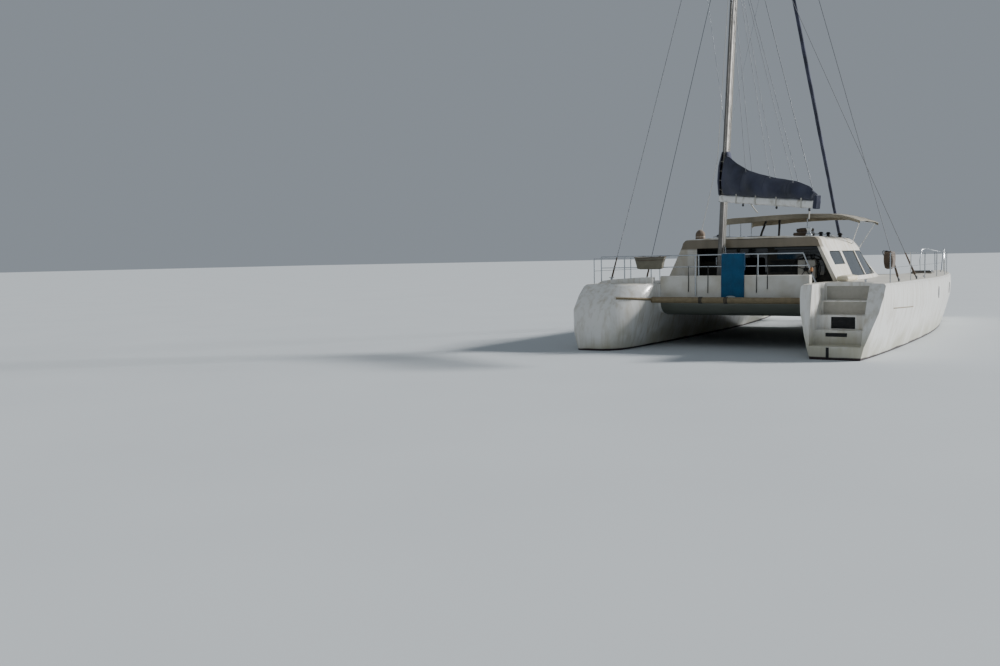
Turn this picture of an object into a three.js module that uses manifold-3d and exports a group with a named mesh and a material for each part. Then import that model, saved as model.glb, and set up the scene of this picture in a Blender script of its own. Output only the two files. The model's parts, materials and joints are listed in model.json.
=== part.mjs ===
// A cruising sailing catamaran, in millimetres: +X starboard, +Y forward, +Z up from the waterline.
import * as THREE from "three";
import { mergeVertices } from "three/addons/utils/BufferGeometryUtils.js";
import Module from "manifold-3d";

const wasm = await Module();
wasm.setup();

// Driving dimensions
const lengthOverall = 14000;
const stern = -lengthOverall / 2;
const hullOffset = 2670; // hull centreline from the boat's centreline
const seam = 0.3; // gap between pieces that touch
const moulding = 50; // thickness of the cabin's sandwich walls
const tubeRadius = 14; // stainless rails

const deckHeight = 1480;
const floorHeight = 850; // cockpit and saloon sole
const bridgeUnderside = 720;
const bridgeHalf = 1750; // where the bridgedeck meets the hulls
const coamingTop = 1670;
const coamingAft = stern + 1620;
const coamingThick = 200;
const bridgeFront = stern + 9800;

const roofAft = stern + 2770;
const bulkheadAft = stern + 3700;
const saloonFront = stern + 8900;

// The mast stands in the cockpit just aft of the roof and port of the walkway, and leans in over the centreline.
const mastFoot = new THREE.Vector3(-650, stern + 2550, floorHeight + seam);
const mastHead = new THREE.Vector3(120, stern + 2550, 15300);
const houndsHeight = 13400;
const lowersHeight = 10500;
const mastChord = 240;
const mastWidth = 150;

const boomSwing = THREE.MathUtils.degToRad(52.4); // to starboard of dead aft
const boomDroop = THREE.MathUtils.degToRad(5.8);
const boomLength = 3500;
const boomHalf = 78; // half height of the boom's section
const gooseHeight = 3470;
const gooseReach = 243; // from the mast's centre back to the boom's pivot
const goose = atMast(gooseHeight).add(new THREE.Vector3(0, -gooseReach, 0));
const gooseHalf = 60; // half height of the boom's eye between the gooseneck's plates

const beamStation = 12800; // forward crossbeam
const helmCentre = new THREE.Vector3(1180, bulkheadAft - 260, 1760);
const helmRadius = 340;
const rudderStation = 900;
const rudderRake = THREE.MathUtils.degToRad(-4);
const legStation = 2150; // saildrive leg
const biminiSpan = {
  x0: -1030, x1: 2250, y0: stern + 4150, y1: stern + 6250, crown: 3130, port: 3030, starboard: 2890,
};

// Hull lines: columns are the distance from the stern, the half breadths at the waterline, at the
// fullest height and at the deck, the depth of the canoe body, and the height of the deck edge.
const hullLines = [
  [0, 490, 690, 690, 130, 1500],
  [1000, 570, 850, 845, 240, 1500],
  [2600, 650, 905, 895, 400, 1490],
  [4800, 700, 925, 905, 540, 1470],
  [7200, 695, 915, 895, 600, 1460],
  [9600, 560, 815, 805, 580, 1465],
  [11500, 350, 590, 605, 500, 1480],
  [12900, 150, 300, 350, 390, 1500],
  [13700, 45, 110, 160, 250, 1515],
  [14000, 12, 28, 42, 90, 1520],
];

// Cabin lines: distance from the stern, half breadth at the deck, half breadth at the roof, roof height.
const cabinLines = [
  [2770, 2080, 1650, 2530],
  [4500, 2090, 1650, 2545],
  [6300, 2070, 1610, 2520],
  [7500, 1990, 1520, 2380],
  [8500, 1840, 1400, 2060],
  [9200, 1660, 1300, 1640],
];

// Steps moulded into the starboard stern: distance from the stern where the riser stands, and the tread's height.
const sternSteps = [
  [450, 270],
  [750, 560],
  [1020, 850],
  [1300, 1140],
];
const scoopHalf = 510;
const sternClear = 1700; // clear above the deck's edge
const ventDepth = 70;
// A vent in the second riser and a slot in the first
const sternVents = [
  { x0: 2420, x1: 2900, riser: 750, low: 575, high: 820 },
  { x0: 2380, x1: 2810, riser: 450, low: 430, high: 510 },
];

const finish = (color, roughness, metalness = 0) =>
  new THREE.MeshStandardMaterial({ color, roughness, metalness });
const gelcoat = finish(0xe9e6df, 0.35);
const deckPaint = finish(0xd9d4c8, 0.6);
const smokedGlass = finish(0x11161b, 0.08);
const stainless = finish(0xb9bcc0, 0.25, 1);
const alloy = finish(0xa7abb0, 0.4, 0.9);
const whiteAlloy = finish(0xeeeeec, 0.4);
const navyCanvas = finish(0x232a49, 0.85);
const khakiCanvas = finish(0xb8a888, 0.85);
const brownCanvas = finish(0x6b4c38, 0.9);
const tealCloth = finish(0x1f6f8f, 0.95);
const netting = finish(0x2a2b2c, 0.9);
const bronze = finish(0x8a6b3a, 0.4, 1);
const antifouling = finish(0x2a1a1c, 0.8);

// Solids
function solid(geometry) {
  const bare = geometry.index ? geometry.toNonIndexed() : geometry.clone();
  bare.deleteAttribute("normal");
  bare.deleteAttribute("uv");
  const merged = mergeVertices(bare, 1e-3);
  return new wasm.Manifold(
    new wasm.Mesh({
      numProp: 3,
      vertProperties: merged.attributes.position.array,
      triVerts: new Uint32Array(merged.index.array),
    }),
  );
}

function geometryOf(body) {
  const data = body.getMesh();
  const geometry = new THREE.BufferGeometry();
  geometry.setAttribute("position", new THREE.BufferAttribute(data.vertProperties, 3));
  geometry.setIndex(new THREE.BufferAttribute(data.triVerts, 1));
  return geometry;
}

const joined = (bodies) => bodies.reduce((sum, body) => sum.add(body));

function boxSolid(x0, x1, y0, y1, z0, z1) {
  const box = new THREE.BoxGeometry(x1 - x0, y1 - y0, z1 - z0);
  return solid(box.translate((x0 + x1) / 2, (y0 + y1) / 2, (z0 + z1) / 2));
}

const outline = (points) => new THREE.Shape(points.map(([u, v]) => new THREE.Vector2(u, v)));

function roundedRect(u0, u1, v0, v1, radius) {
  const shape = new THREE.Shape();
  shape.absarc(u1 - radius, v1 - radius, radius, 0, Math.PI / 2);
  shape.absarc(u0 + radius, v1 - radius, radius, Math.PI / 2, Math.PI);
  shape.absarc(u0 + radius, v0 + radius, radius, Math.PI, 1.5 * Math.PI);
  shape.absarc(u1 - radius, v0 + radius, radius, 1.5 * Math.PI, 2 * Math.PI);
  return shape;
}

function extruded(shape, depth, basis, curveSegments = 6) {
  const geometry = new THREE.ExtrudeGeometry(shape, { depth, bevelEnabled: false, curveSegments });
  return solid(geometry.applyMatrix4(basis));
}

// A profile drawn in (y, z) and extruded from x0 to x1.
function acrossBoat(shape, x0, x1, curveSegments) {
  const basis = new THREE.Matrix4().set(0, 0, 1, x0, 1, 0, 0, 0, 0, 1, 0, 0, 0, 0, 0, 1);
  return extruded(shape, x1 - x0, basis, curveSegments);
}

// A profile drawn in (x, z) and extruded from y0 to y1.
function alongBoat(shape, y0, y1, curveSegments) {
  const basis = new THREE.Matrix4().set(1, 0, 0, 0, 0, 0, -1, y1, 0, 1, 0, 0, 0, 0, 0, 1);
  return extruded(shape, y1 - y0, basis, curveSegments);
}

// A profile drawn in (x, y) and extruded from z0 to z1.
function upright(shape, z0, z1, curveSegments) {
  return extruded(shape, z1 - z0, new THREE.Matrix4().makeTranslation(0, 0, z0), curveSegments);
}

function rod(from, to, radius, sides = 6, endRadius = radius) {
  const axis = to.clone().sub(from);
  const cylinder = new THREE.CylinderGeometry(endRadius, radius, axis.length(), sides);
  const turn = new THREE.Quaternion().setFromUnitVectors(new THREE.Vector3(0, 1, 0), axis.normalize());
  cylinder.applyQuaternion(turn);
  const middle = from.clone().add(to).multiplyScalar(0.5);
  return solid(cylinder.translate(middle.x, middle.y, middle.z));
}

// Bent tube through a list of points
function pipe(points, radius, steps = (points.length - 1) * 2, sides = 6) {
  const ring = Array.from({ length: sides }, (_, i) => {
    const angle = (i / sides) * 2 * Math.PI;
    return [radius * Math.cos(angle), radius * Math.sin(angle)];
  });
  const path = new THREE.CatmullRomCurve3(points, false, "centripetal");
  return solid(new THREE.ExtrudeGeometry(outline(ring), { steps, extrudePath: path }));
}

function turned(profile, segments = 16) {
  const points = profile.map(([r, z]) => new THREE.Vector2(r, z));
  const lathe = new THREE.LatheGeometry(points, segments);
  return solid(lathe.rotateX(Math.PI / 2));
}

// Closed skin over rings of equal length, each a list of Vector3.
function lofted(rings) {
  const count = rings[0].length;
  const positions = rings.flat().flatMap((point) => point.toArray());
  const faces = [];
  for (let i = 0; i + 1 < rings.length; i += 1) {
    for (let j = 0; j < count; j += 1) {
      const a = i * count + j;
      const b = i * count + ((j + 1) % count);
      faces.push(a, b, b + count, a, b + count, a + count);
    }
  }
  const ends = [0, rings.length - 1];
  for (const end of ends) {
    const flat = rings[end].map((point) => new THREE.Vector2(point.x, point.z));
    const turnedRound = THREE.ShapeUtils.area(flat) < 0;
    const base = end * count;
    for (const [a, b, c] of THREE.ShapeUtils.triangulateShape(flat, [])) {
      const outward = (end === 0) !== turnedRound;
      faces.push(...(outward ? [base + a, base + c, base + b] : [base + a, base + b, base + c]));
    }
  }
  const geometry = new THREE.BufferGeometry();
  geometry.setAttribute("position", new THREE.Float32BufferAttribute(positions, 3));
  geometry.setIndex(faces);
  const body = solid(geometry);
  if (body.volume() > 0) return body;
  geometry.setIndex(faces.map((_, k) => faces[k - (k % 3) + (2 - (k % 3))]));
  return solid(geometry);
}

// Smooth rows between the rows of a table whose first column is the distance from the stern.
function fairRows(table, perGap) {
  const steps = (table.length - 1) * perGap;
  const curves = table[0].map(
    (_, column) => new THREE.SplineCurve(table.map((row) => new THREE.Vector2(row[0], row[column]))),
  );
  return Array.from({ length: steps + 1 }, (_, i) => curves.map((curve) => curve.getPoint(i / steps).y));
}

// A body drawn at the origin, cut back where the guard reaches once it stands at its place.
function seated(body, place, guard) {
  return body.subtract(guard.translate(place.map((value) => -value)));
}

const named = (name, body, material) => {
  const mesh = new THREE.Mesh(body.isBufferGeometry ? body : geometryOf(body), material);
  mesh.name = name;
  return mesh;
};

// Hulls
function hullRing([station, waterline, bulge, deck, depth, height], centre, grow) {
  const side = new THREE.SplineCurve([
    new THREE.Vector2(0, -depth),
    new THREE.Vector2(waterline * 0.62, -depth * 0.78),
    new THREE.Vector2(waterline, 0),
    new THREE.Vector2(bulge, height * 0.62),
    new THREE.Vector2(deck, height - 45),
  ]).getPoints(8);
  const edge = new THREE.Vector2(Math.max(deck - 45, deck * 0.6), height);
  const half = [...side, edge];
  const starboardSide = half.map((p) => new THREE.Vector3(centre + p.x + (p.x > 0 ? grow : 0), stern + station, p.y));
  const portSide = half.slice(1).map((p) => new THREE.Vector3(centre - p.x - grow, stern + station, p.y));
  const crown = new THREE.Vector3(centre, stern + station, height + Math.min(25, deck * 0.04));
  return [...starboardSide, crown, ...portSide.reverse()];
}

const hullRows = fairRows(hullLines, 2);

// Port: a closed stern, leaning forward above the rubbing line, whose sections draw in towards the
// end, tightly outboard and broadly into the tunnel
const portStern = {
  stations: [0, 30, 90, 190, 340, 620], tunnelRadius: 620, outerRadius: 140, half: 690,
  rake: 800, rakeFrom: 560, rakeOver: 940, fadesBy: 1900,
};

function drawnIn(station, radius) {
  if (station >= radius) return 1;
  const back = radius - station;
  return 1 - (radius - Math.sqrt(radius * radius - back * back)) / portStern.half;
}

function rowAt(station) {
  const next = Math.max(1, hullRows.findIndex((row) => row[0] >= station));
  const [low, high] = [hullRows[next - 1], hullRows[next]];
  const share = (station - low[0]) / (high[0] - low[0]);
  return low.map((value, i) => THREE.MathUtils.lerp(value, high[i], share));
}

function portRing(row, grow, width = 1) {
  const [station] = row;
  const toTunnel = drawnIn(station, portStern.tunnelRadius) * width;
  const outboard = drawnIn(station, portStern.outerRadius) * width;
  const fade = Math.max(0, 1 - station / portStern.fadesBy);
  return hullRing(row, 0, grow).map(({ x, y, z }) => {
    const rise = Math.max(0, (z - portStern.rakeFrom) / portStern.rakeOver);
    const lean = portStern.rake * rise ** 1.6 * fade;
    return new THREE.Vector3(x * (x > 0 ? toTunnel : outboard) - hullOffset, y + lean, z);
  });
}

function hullBody(side, grow = 0) {
  if (side > 0) return lofted(hullRows.map((row) => hullRing(row, hullOffset, grow)));
  const rows = [...portStern.stations.map(rowAt), ...hullRows.filter(([station]) => station > 900)];
  return lofted([portRing(rows[0], grow, 0.08), ...rows.map((row) => portRing(row, grow))]);
}

// Low coaming across the port quarter, in line with the cockpit's
function quarterCoaming() {
  const shape = outline([
    [-3300, 1440], [-1860, 1440], [-1860, 1650], [-2300, 1640], [-2900, 1605], [-3180, 1570], [-3300, 1510],
  ]);
  return alongBoat(shape, stern + 1400, stern + 1560);
}

function sideSpan(side, inner, outer) {
  return side > 0 ? [inner, outer] : [-outer, -inner];
}

// Profile of the bridgedeck's underside, from the cockpit's aft wall to the front.
function undersidePath(shape) {
  shape.moveTo(coamingAft, 1050);
  shape.quadraticCurveTo(coamingAft + 20, bridgeUnderside + 10, coamingAft + 600, bridgeUnderside);
  shape.lineTo(stern + 8400, bridgeUnderside);
  shape.quadraticCurveTo(bridgeFront - 200, bridgeUnderside + 30, bridgeFront, 1300);
  return shape;
}

const rudderAxis = new THREE.Vector3(0, -Math.sin(rudderRake), Math.cos(rudderRake));
const rudderPivot = (side) => new THREE.Vector3(side * hullOffset, stern + rudderStation, -250);

// A wedge off the stern, from the height where it starts up past the deck
function sternWedge(x0, x1, start, rake) {
  const wedge = new THREE.Shape();
  wedge.moveTo(stern - 50, start);
  wedge.lineTo(stern + 15, start);
  wedge.quadraticCurveTo(stern + rake * 0.45, start + (sternClear - start) * 0.63, stern + rake, sternClear);
  wedge.lineTo(stern - 50, sternClear);
  return acrossBoat(wedge, x0, x1);
}

// Starboard: steps between two wings, the outer one raked forward and the inner one nearly upright
function steppedStern(hullSolid) {
  let body = hullSolid.subtract(sternWedge(hullOffset, hullOffset + 1200, 290, 1000));
  body = body.subtract(sternWedge(hullOffset - 800, hullOffset, 290, 330));
  const stair = [[stern - 50, sternClear], [stern - 50, sternSteps[0][1]]];
  sternSteps.forEach(([riser, tread], i) => {
    stair.push([stern + riser, tread]);
    stair.push([stern + riser, i + 1 < sternSteps.length ? sternSteps[i + 1][1] : sternClear]);
  });
  body = body.subtract(acrossBoat(outline(stair), hullOffset - scoopHalf, hullOffset + scoopHalf - 10));
  for (const { x0, x1, riser, low, high } of sternVents) {
    const face = stern + riser;
    body = body.subtract(boxSolid(x0, x1, face - 5, face + ventDepth, low, high));
  }
  return body;
}

function hull(side) {
  const [in0, in1] = sideSpan(side, bridgeHalf + seam, hullOffset - 200);
  const shoulder = undersidePath(new THREE.Shape());
  shoulder.lineTo(bridgeFront, deckHeight);
  shoulder.lineTo(coamingAft, deckHeight);
  const keel = new THREE.Shape();
  keel.moveTo(side * hullOffset, stern + 5100);
  keel.quadraticCurveTo(side * hullOffset + 110, stern + 6300, side * hullOffset + 60, stern + 7700);
  keel.quadraticCurveTo(side * hullOffset, stern + 8000, side * hullOffset - 60, stern + 7700);
  keel.quadraticCurveTo(side * hullOffset - 110, stern + 6300, side * hullOffset, stern + 5100);
  let body = hullBody(side).add(acrossBoat(shoulder, in0, in1)).add(upright(keel, -1180, -300, 5));

  body = side > 0 ? steppedStern(body) : body.add(quarterCoaming());

  // Boss that carries the rudder's stock
  const boss = rod(rudderPivot(side), rudderPivot(side).addScaledVector(rudderAxis, 150), 38, 12);
  return body.add(boss);
}

const grownHulls = hullBody(1, seam).add(hullBody(-1, seam));

// Bridgedeck with the cockpit's aft wall, sole and the front of the saloon well
function bridgedeck() {
  const profile = undersidePath(new THREE.Shape());
  profile.lineTo(bridgeFront, deckHeight);
  profile.lineTo(saloonFront, deckHeight);
  profile.lineTo(saloonFront, floorHeight);
  profile.lineTo(coamingAft + coamingThick, floorHeight);
  profile.lineTo(coamingAft + coamingThick, coamingTop - 30);
  profile.quadraticCurveTo(coamingAft + coamingThick, coamingTop, coamingAft + coamingThick - 30, coamingTop);
  profile.lineTo(coamingAft + 40, coamingTop);
  profile.quadraticCurveTo(coamingAft, coamingTop, coamingAft, coamingTop - 40);
  return acrossBoat(profile, -bridgeHalf, bridgeHalf, 5);
}

// Cabin
function cabinRing([station, base, top, height], inset) {
  const floor = inset > 0 ? deckHeight - 100 : deckHeight + seam;
  const corner = Math.min(170, (height - deckHeight) * 0.45);
  const ringBase = base - inset;
  const ringTop = top - inset;
  const ringHeight = height - inset;
  const half = [new THREE.Vector2(ringBase, floor)];
  const shoulder = new THREE.SplineCurve([
    new THREE.Vector2(ringTop + 6, ringHeight - corner),
    new THREE.Vector2(ringTop - corner * 0.25, ringHeight - corner * 0.25),
    new THREE.Vector2(ringTop - corner, ringHeight),
  ]).getPoints(3);
  half.push(...shoulder);
  half.push(new THREE.Vector2(ringTop * 0.45, ringHeight + 30));
  const y = stern + station;
  const right = half.map((p) => new THREE.Vector3(p.x, y, p.y));
  const left = half.map((p) => new THREE.Vector3(-p.x, y, p.y)).reverse();
  return [...right, ...left];
}

const cabinRows = fairRows(cabinLines, 2);

function cabinBody(inset) {
  const rows = cabinRows.map((row) => [...row]);
  if (inset > 0) {
    rows[0][0] -= 40;
    rows[rows.length - 1][0] -= inset * 1.6;
  }
  return lofted(rows.map((row) => cabinRing(row, inset)));
}

const sideWindow = { y0: stern + 3250, y1: stern + 7700, z0: 1570, z1: 2190, radius: 150 };
const frontWindow = { x0: 45, x1: 1130, z0: 1730, z1: 2230, y0: stern + 7450, y1: stern + 9600, radius: 70 };

function sideWindowCutter(side, shrink) {
  const w = sideWindow;
  const shape = roundedRect(w.y0 + shrink, w.y1 - shrink, w.z0 + shrink, w.z1 - shrink, w.radius - shrink);
  const [x0, x1] = sideSpan(side, 1400, 2400);
  return acrossBoat(shape, x0, x1, 4);
}

function frontWindowCutter(side, shrink) {
  const w = frontWindow;
  const [x0, x1] = sideSpan(side, w.x0 + shrink, w.x1 - shrink);
  const shape = roundedRect(x0, x1, w.z0 + shrink, w.z1 - shrink, w.radius - shrink);
  return alongBoat(shape, w.y0 + shrink, w.y1, 4);
}

const cabinOuter = cabinBody(0);
const cabinInner = cabinBody(moulding);
const paneSkin = cabinBody(12).subtract(cabinBody(28));

function coachroof() {
  const panel = boxSolid(-2150, -1270, roofAft + seam, roofAft + moulding, deckHeight + seam, 2470);
  const panelInCabin = panel.intersect(cabinOuter);
  let shell = cabinOuter.subtract(cabinInner).add(panelInCabin);
  // The roof's aft edge is a deep rounded band.
  const band = boxSolid(-1900, 1900, roofAft + seam, roofAft + 120, 2310, 2500).intersect(cabinOuter);
  shell = shell.add(band);
  for (const side of [-1, 1]) {
    shell = shell.subtract(sideWindowCutter(side, 0)).subtract(frontWindowCutter(side, 0));
  }
  return shell.subtract(grownHulls);
}

// Wall between cockpit and saloon, with the doorway and a window
const doorway = { x0: -480, x1: 180, z0: floorHeight + 60, z1: 2150 };
const aftPane = { x0: 420, x1: 1450, z0: 2010, z1: 2230 };

function bulkhead() {
  const section = cabinBody(moulding + seam).intersect(
    boxSolid(-2200, 2200, bulkheadAft, bulkheadAft + 45, deckHeight + seam, 2600),
  );
  const lower = boxSolid(
    -bridgeHalf + seam, bridgeHalf - seam, bulkheadAft, bulkheadAft + 45, floorHeight + seam, deckHeight + 20,
  );
  const d = doorway;
  const w = aftPane;
  const doorCut = alongBoat(roundedRect(d.x0, d.x1, d.z0, d.z1, 60), bulkheadAft - 5, bulkheadAft + 50, 4);
  const paneCut = alongBoat(roundedRect(w.x0, w.x1, w.z0, w.z1, 40), bulkheadAft - 5, bulkheadAft + 50, 4);
  const sill = boxSolid(-1300, d.x1 + 60, bulkheadAft + 44, bulkheadAft + 92, floorHeight + seam, d.z0 - 30.4);
  return section.add(lower).add(sill).subtract(doorCut).subtract(paneCut).subtract(grownHulls);
}

function aftGlass() {
  const w = aftPane;
  const s = seam;
  const shape = roundedRect(w.x0 + s, w.x1 - s, w.z0 + s, w.z1 - s, 40 - s);
  return alongBoat(shape, bulkheadAft + 15, bulkheadAft + 25, 4);
}

// The saloon door slides to port on the bulkhead's forward face.
function saloonDoor() {
  const d = doorway;
  const panel = alongBoat(roundedRect(d.x0 - 40, d.x1 + 40, d.z0 - 30, d.z1 + 30, 40), 0, 34, 4);
  const opening = alongBoat(roundedRect(d.x0 + 70, d.x1 - 70, d.z0 + 500, d.z1 - 90, 60), -5, 40, 4);
  return panel.subtract(opening);
}

// Cockpit furniture
function aftBench() {
  const y0 = coamingAft + coamingThick + seam;
  return boxSolid(-1300, 1300, y0, y0 + 480, floorHeight + seam, 1240);
}

function cockpitTable() {
  const top = upright(roundedRect(-900, 150, stern + 2720, stern + 3320, 80), 1430, 1465, 4);
  const leg = rod(
    new THREE.Vector3(-375, stern + 3020, floorHeight + seam), new THREE.Vector3(-375, stern + 3020, 1435), 55, 12,
  );
  return top.add(leg);
}

function saloonSettee() {
  const shape = outline([
    [-1600, stern + 6000], [-1600, stern + 8750], [1600, stern + 8750], [1600, stern + 7000],
    [1050, stern + 7000], [1050, stern + 8150], [-1050, stern + 8150], [-1050, stern + 6000],
  ]);
  return upright(shape, floorHeight + seam, 1290);
}

// Spars
const spreaders = [
  { height: 9300, reach: 850 },
  { height: 12100, reach: 330 },
];
const plateThick = 15.5; // gooseneck plates
const stepHeight = 70;

function atMast(z) {
  const share = (z - mastFoot.z) / (mastHead.z - mastFoot.z);
  return mastFoot.clone().lerp(mastHead, share);
}

function mast() {
  const section = new THREE.Shape();
  section.absellipse(0, 0, mastWidth / 2, mastChord / 2, 0, 2 * Math.PI);
  const height = mastHead.z - mastFoot.z;
  const tube = new THREE.ExtrudeGeometry(section, { depth: height, bevelEnabled: false, curveSegments: 14 });
  const lean = (mastHead.x - mastFoot.x) / height;
  const { x, y, z } = mastFoot;
  const place = new THREE.Matrix4().set(1, 0, lean, x, 0, 1, 0, y, 0, 0, 1, z, 0, 0, 0, 1);
  const pieces = [solid(tube.applyMatrix4(place))];
  pieces.push(upright(roundedRect(x - 150, x + 150, y - 190, y + 190, 60), z, z + stepHeight, 4));
  for (const { height: level, reach } of spreaders) {
    for (const side of [-1, 1]) {
      const root = atMast(level);
      const tip = root.clone().add(new THREE.Vector3(side * reach, 120, 40));
      pieces.push(rod(root, tip, 34, 8, 20));
    }
  }
  for (const low of [goose.z - gooseHalf - 0.5 - plateThick, goose.z + gooseHalf + 0.5]) {
    pieces.push(boxSolid(goose.x - 30, goose.x + 30, goose.y - 26, goose.y + 150, low, low + plateThick));
  }
  const top = atMast(mastHead.z - 10);
  pieces.push(boxSolid(top.x - 35, top.x + 35, top.y - 260, top.y + 190, mastHead.z - 60, mastHead.z + 30));
  return joined(pieces);
}

function boomTube() {
  const shape = roundedRect(-60, 60, -boomHalf, boomHalf, 42);
  const tube = alongBoat(shape, -boomLength, -60, 3);
  const plumb = new THREE.Vector3(0, Math.sin(boomDroop), Math.cos(boomDroop)).multiplyScalar(gooseHalf);
  const eye = rod(plumb.clone().negate(), plumb, 32, 12);
  const tongue = boxSolid(-18, 18, -90, 0, -30, 30);
  return tube.add(eye).add(tongue);
}

// The stowed mainsail under its cover: tall at the mast and sinking in a hollow line to the boom's end.
function sailCover() {
  const rows = [
    [-190, 130, 1000],
    [-600, 150, 815],
    [-1090, 158, 655],
    [-1590, 155, 570],
    [-2120, 145, 505],
    [-2810, 130, 450],
    [-3270, 105, 350],
    [-3430, 80, 240],
  ];
  const bottom = boomHalf + 0.5;
  const rings = rows.map(([y, half, top]) => {
    const body = new THREE.SplineCurve([
      new THREE.Vector2(half * 0.8, bottom),
      new THREE.Vector2(half, bottom + (top - bottom) * 0.3),
      new THREE.Vector2(half * 0.55, bottom + (top - bottom) * 0.85),
      new THREE.Vector2(12, top),
    ]).getPoints(7);
    const right = body.map((p) => new THREE.Vector3(p.x, y, p.y));
    const left = body.map((p) => new THREE.Vector3(-p.x, y, p.y)).reverse();
    return [...right, ...left];
  });
  return lofted(rings);
}

// The part of the cover that laces round the front of the mast: height, how far it stands off the mast
// sideways and fore and aft, and how far it sags forward.
const collarRows = [
  [3560, 46, 46, 0],
  [3900, 105, 84, 30],
  [4250, 95, 76, 28],
  [4580, 15.5, 15.5, 0],
];

function mastCollar() {
  const skin = (thick) =>
    loftedUp(collarRows.map(([z, aside, along, sag]) => {
      const centre = atMast(z).add(new THREE.Vector3(0, sag, 0));
      return ellipseRing(centre, mastWidth / 2 + aside - thick, mastChord / 2 + along - thick, z, 20);
    }));
  const shell = skin(0).subtract(skin(14));
  const [low, high] = [collarRows[0][0], collarRows[collarRows.length - 1][0]];
  const middle = atMast((low + high) / 2);
  const mouth = boxSolid(
    middle.x - 70, middle.x + 70, middle.y - 500, middle.y - mastChord / 2 + 30, low - 50, high + 50,
  );
  return shell.subtract(mouth);
}

function ellipseRing(centre, a, b, z, count) {
  return Array.from({ length: count }, (_, i) => {
    const angle = (i / count) * 2 * Math.PI;
    return new THREE.Vector3(centre.x + a * Math.cos(angle), centre.y + b * Math.sin(angle), z);
  });
}

// Loft whose rings are stacked upwards
function loftedUp(rings) {
  const lean = new THREE.Matrix4().makeRotationX(-Math.PI / 2);
  const back = [Math.PI / 2, 0, 0].map(THREE.MathUtils.radToDeg);
  const laid = rings.map((ring) => ring.map((point) => point.clone().applyMatrix4(lean)));
  return lofted(laid).rotate(back);
}

// Stays
function stay(from, to, radius, turnbuckle) {
  const along = to.clone().sub(from).normalize();
  const wire = rod(from, to, radius, 6);
  const screw = rod(from, from.clone().addScaledVector(along, turnbuckle), radius * 2.4, 8);
  return wire.add(screw);
}

function shroud(side, station, height) {
  const foot = new THREE.Vector3(side * 3440, stern + station, 1505);
  const masthead = atMast(height);
  const top = masthead.add(new THREE.Vector3(side * (mastWidth / 2 + 6.9), 0, 0));
  const plate = boxSolid(foot.x - 12, foot.x + 12, foot.y - 45, foot.y + 45, 1486, 1560);
  return stay(foot, top, 7, 420).add(plate).subtract(grownHulls);
}

// The forestay with its furling drum and the rolled sail, as one turned body along the stay
function forestay() {
  const foot = new THREE.Vector3(0, stern + beamStation, padTop + 5.4);
  const head = atMast(houndsHeight).add(new THREE.Vector3(0, mastChord / 2 + 10, 0));
  const along = head.clone().sub(foot);
  const total = along.length();
  const wire = 8;
  const profile = [
    [0, 0], [wire, 0], [wire, 260], [82, 260], [82, 430], [wire, 430], [wire, 520], [46, 520],
    [52, total * 0.5], [28, total - 420], [wire, total - 420], [wire, total], [0, total],
  ].map(([r, t]) => new THREE.Vector2(r, t));
  const turn = new THREE.Quaternion().setFromUnitVectors(new THREE.Vector3(0, 1, 0), along.normalize());
  const lathe = new THREE.LatheGeometry(profile, 14).applyQuaternion(turn);
  return solid(lathe.translate(foot.x, foot.y, foot.z));
}

// Crossbeams and nets
const padTop = 1515; // forestay's fitting on the forward beam

function aftBeam() {
  const tube = rod(
    new THREE.Vector3(-2100, stern + 1250, 1120), new THREE.Vector3(2100, stern + 1250, 1120), 70, 20,
  );
  return tube.subtract(grownHulls);
}

function forwardBeam() {
  const y = stern + beamStation;
  const tube = rod(new THREE.Vector3(-2660, y, 1330), new THREE.Vector3(2660, y, 1330), 95, 20);
  const pad = boxSolid(-70, 70, y - 70, y + 70, 1400, padTop);
  const strut = rod(new THREE.Vector3(0, y, 1400), new THREE.Vector3(0, y, 1330), 40, 8);
  return tube.add(pad).add(strut).subtract(grownHulls);
}

const spineHalf = 170;

function centreSpine() {
  const profile = outline([
    [bridgeFront + seam, 1340], [stern + beamStation - 96, 1290],
    [stern + beamStation - 96, 1420], [bridgeFront + seam, 1478],
  ]);
  return acrossBoat(profile, -spineHalf, spineHalf).subtract(beamGuard);
}

const beamGuard = rod(
  new THREE.Vector3(-2660, stern + beamStation, 1330), new THREE.Vector3(2660, stern + beamStation, 1330), 95.4, 20,
);

function trampoline(side) {
  const [x0, x1] = sideSpan(side, spineHalf + seam, 2600);
  const net = boxSolid(x0, x1, bridgeFront + seam, stern + beamStation - 95, 1340, 1352);
  return net.subtract(grownHulls).subtract(beamGuard);
}

// Rails
const railY = coamingAft + 40;
const railTop = 2150;

function sternRail() {
  const deck = deckHeight - 10;
  const feet = [
    [-3330, railY, deck], [-2700, railY, deck], [-2000, railY, deck],
    [-800, railY, coamingTop + seam], [600, railY, coamingTop + seam],
  ];
  const pieces = feet.map(([x, y, z]) =>
    rod(new THREE.Vector3(x, y, z), new THREE.Vector3(x, y, railTop), tubeRadius, 6),
  );
  const end = new THREE.Vector3(1600, railY, railTop);
  const foot = new THREE.Vector3(1900, railY - 60, deck);
  pieces.push(rod(new THREE.Vector3(-3330, railY, railTop), end, tubeRadius, 8));
  pieces.push(rod(end, foot, tubeRadius, 8));
  pieces.push(pipe([new THREE.Vector3(-3330, railY, 1880), new THREE.Vector3(1735, railY, 1880)], 10));
  return joined(pieces).subtract(deckGuard);
}

const deckGuard = grownHulls.add(
  boxSolid(-2480, 2480, coamingAft - seam, bridgeFront, 1000, deckHeight + seam),
);

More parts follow.
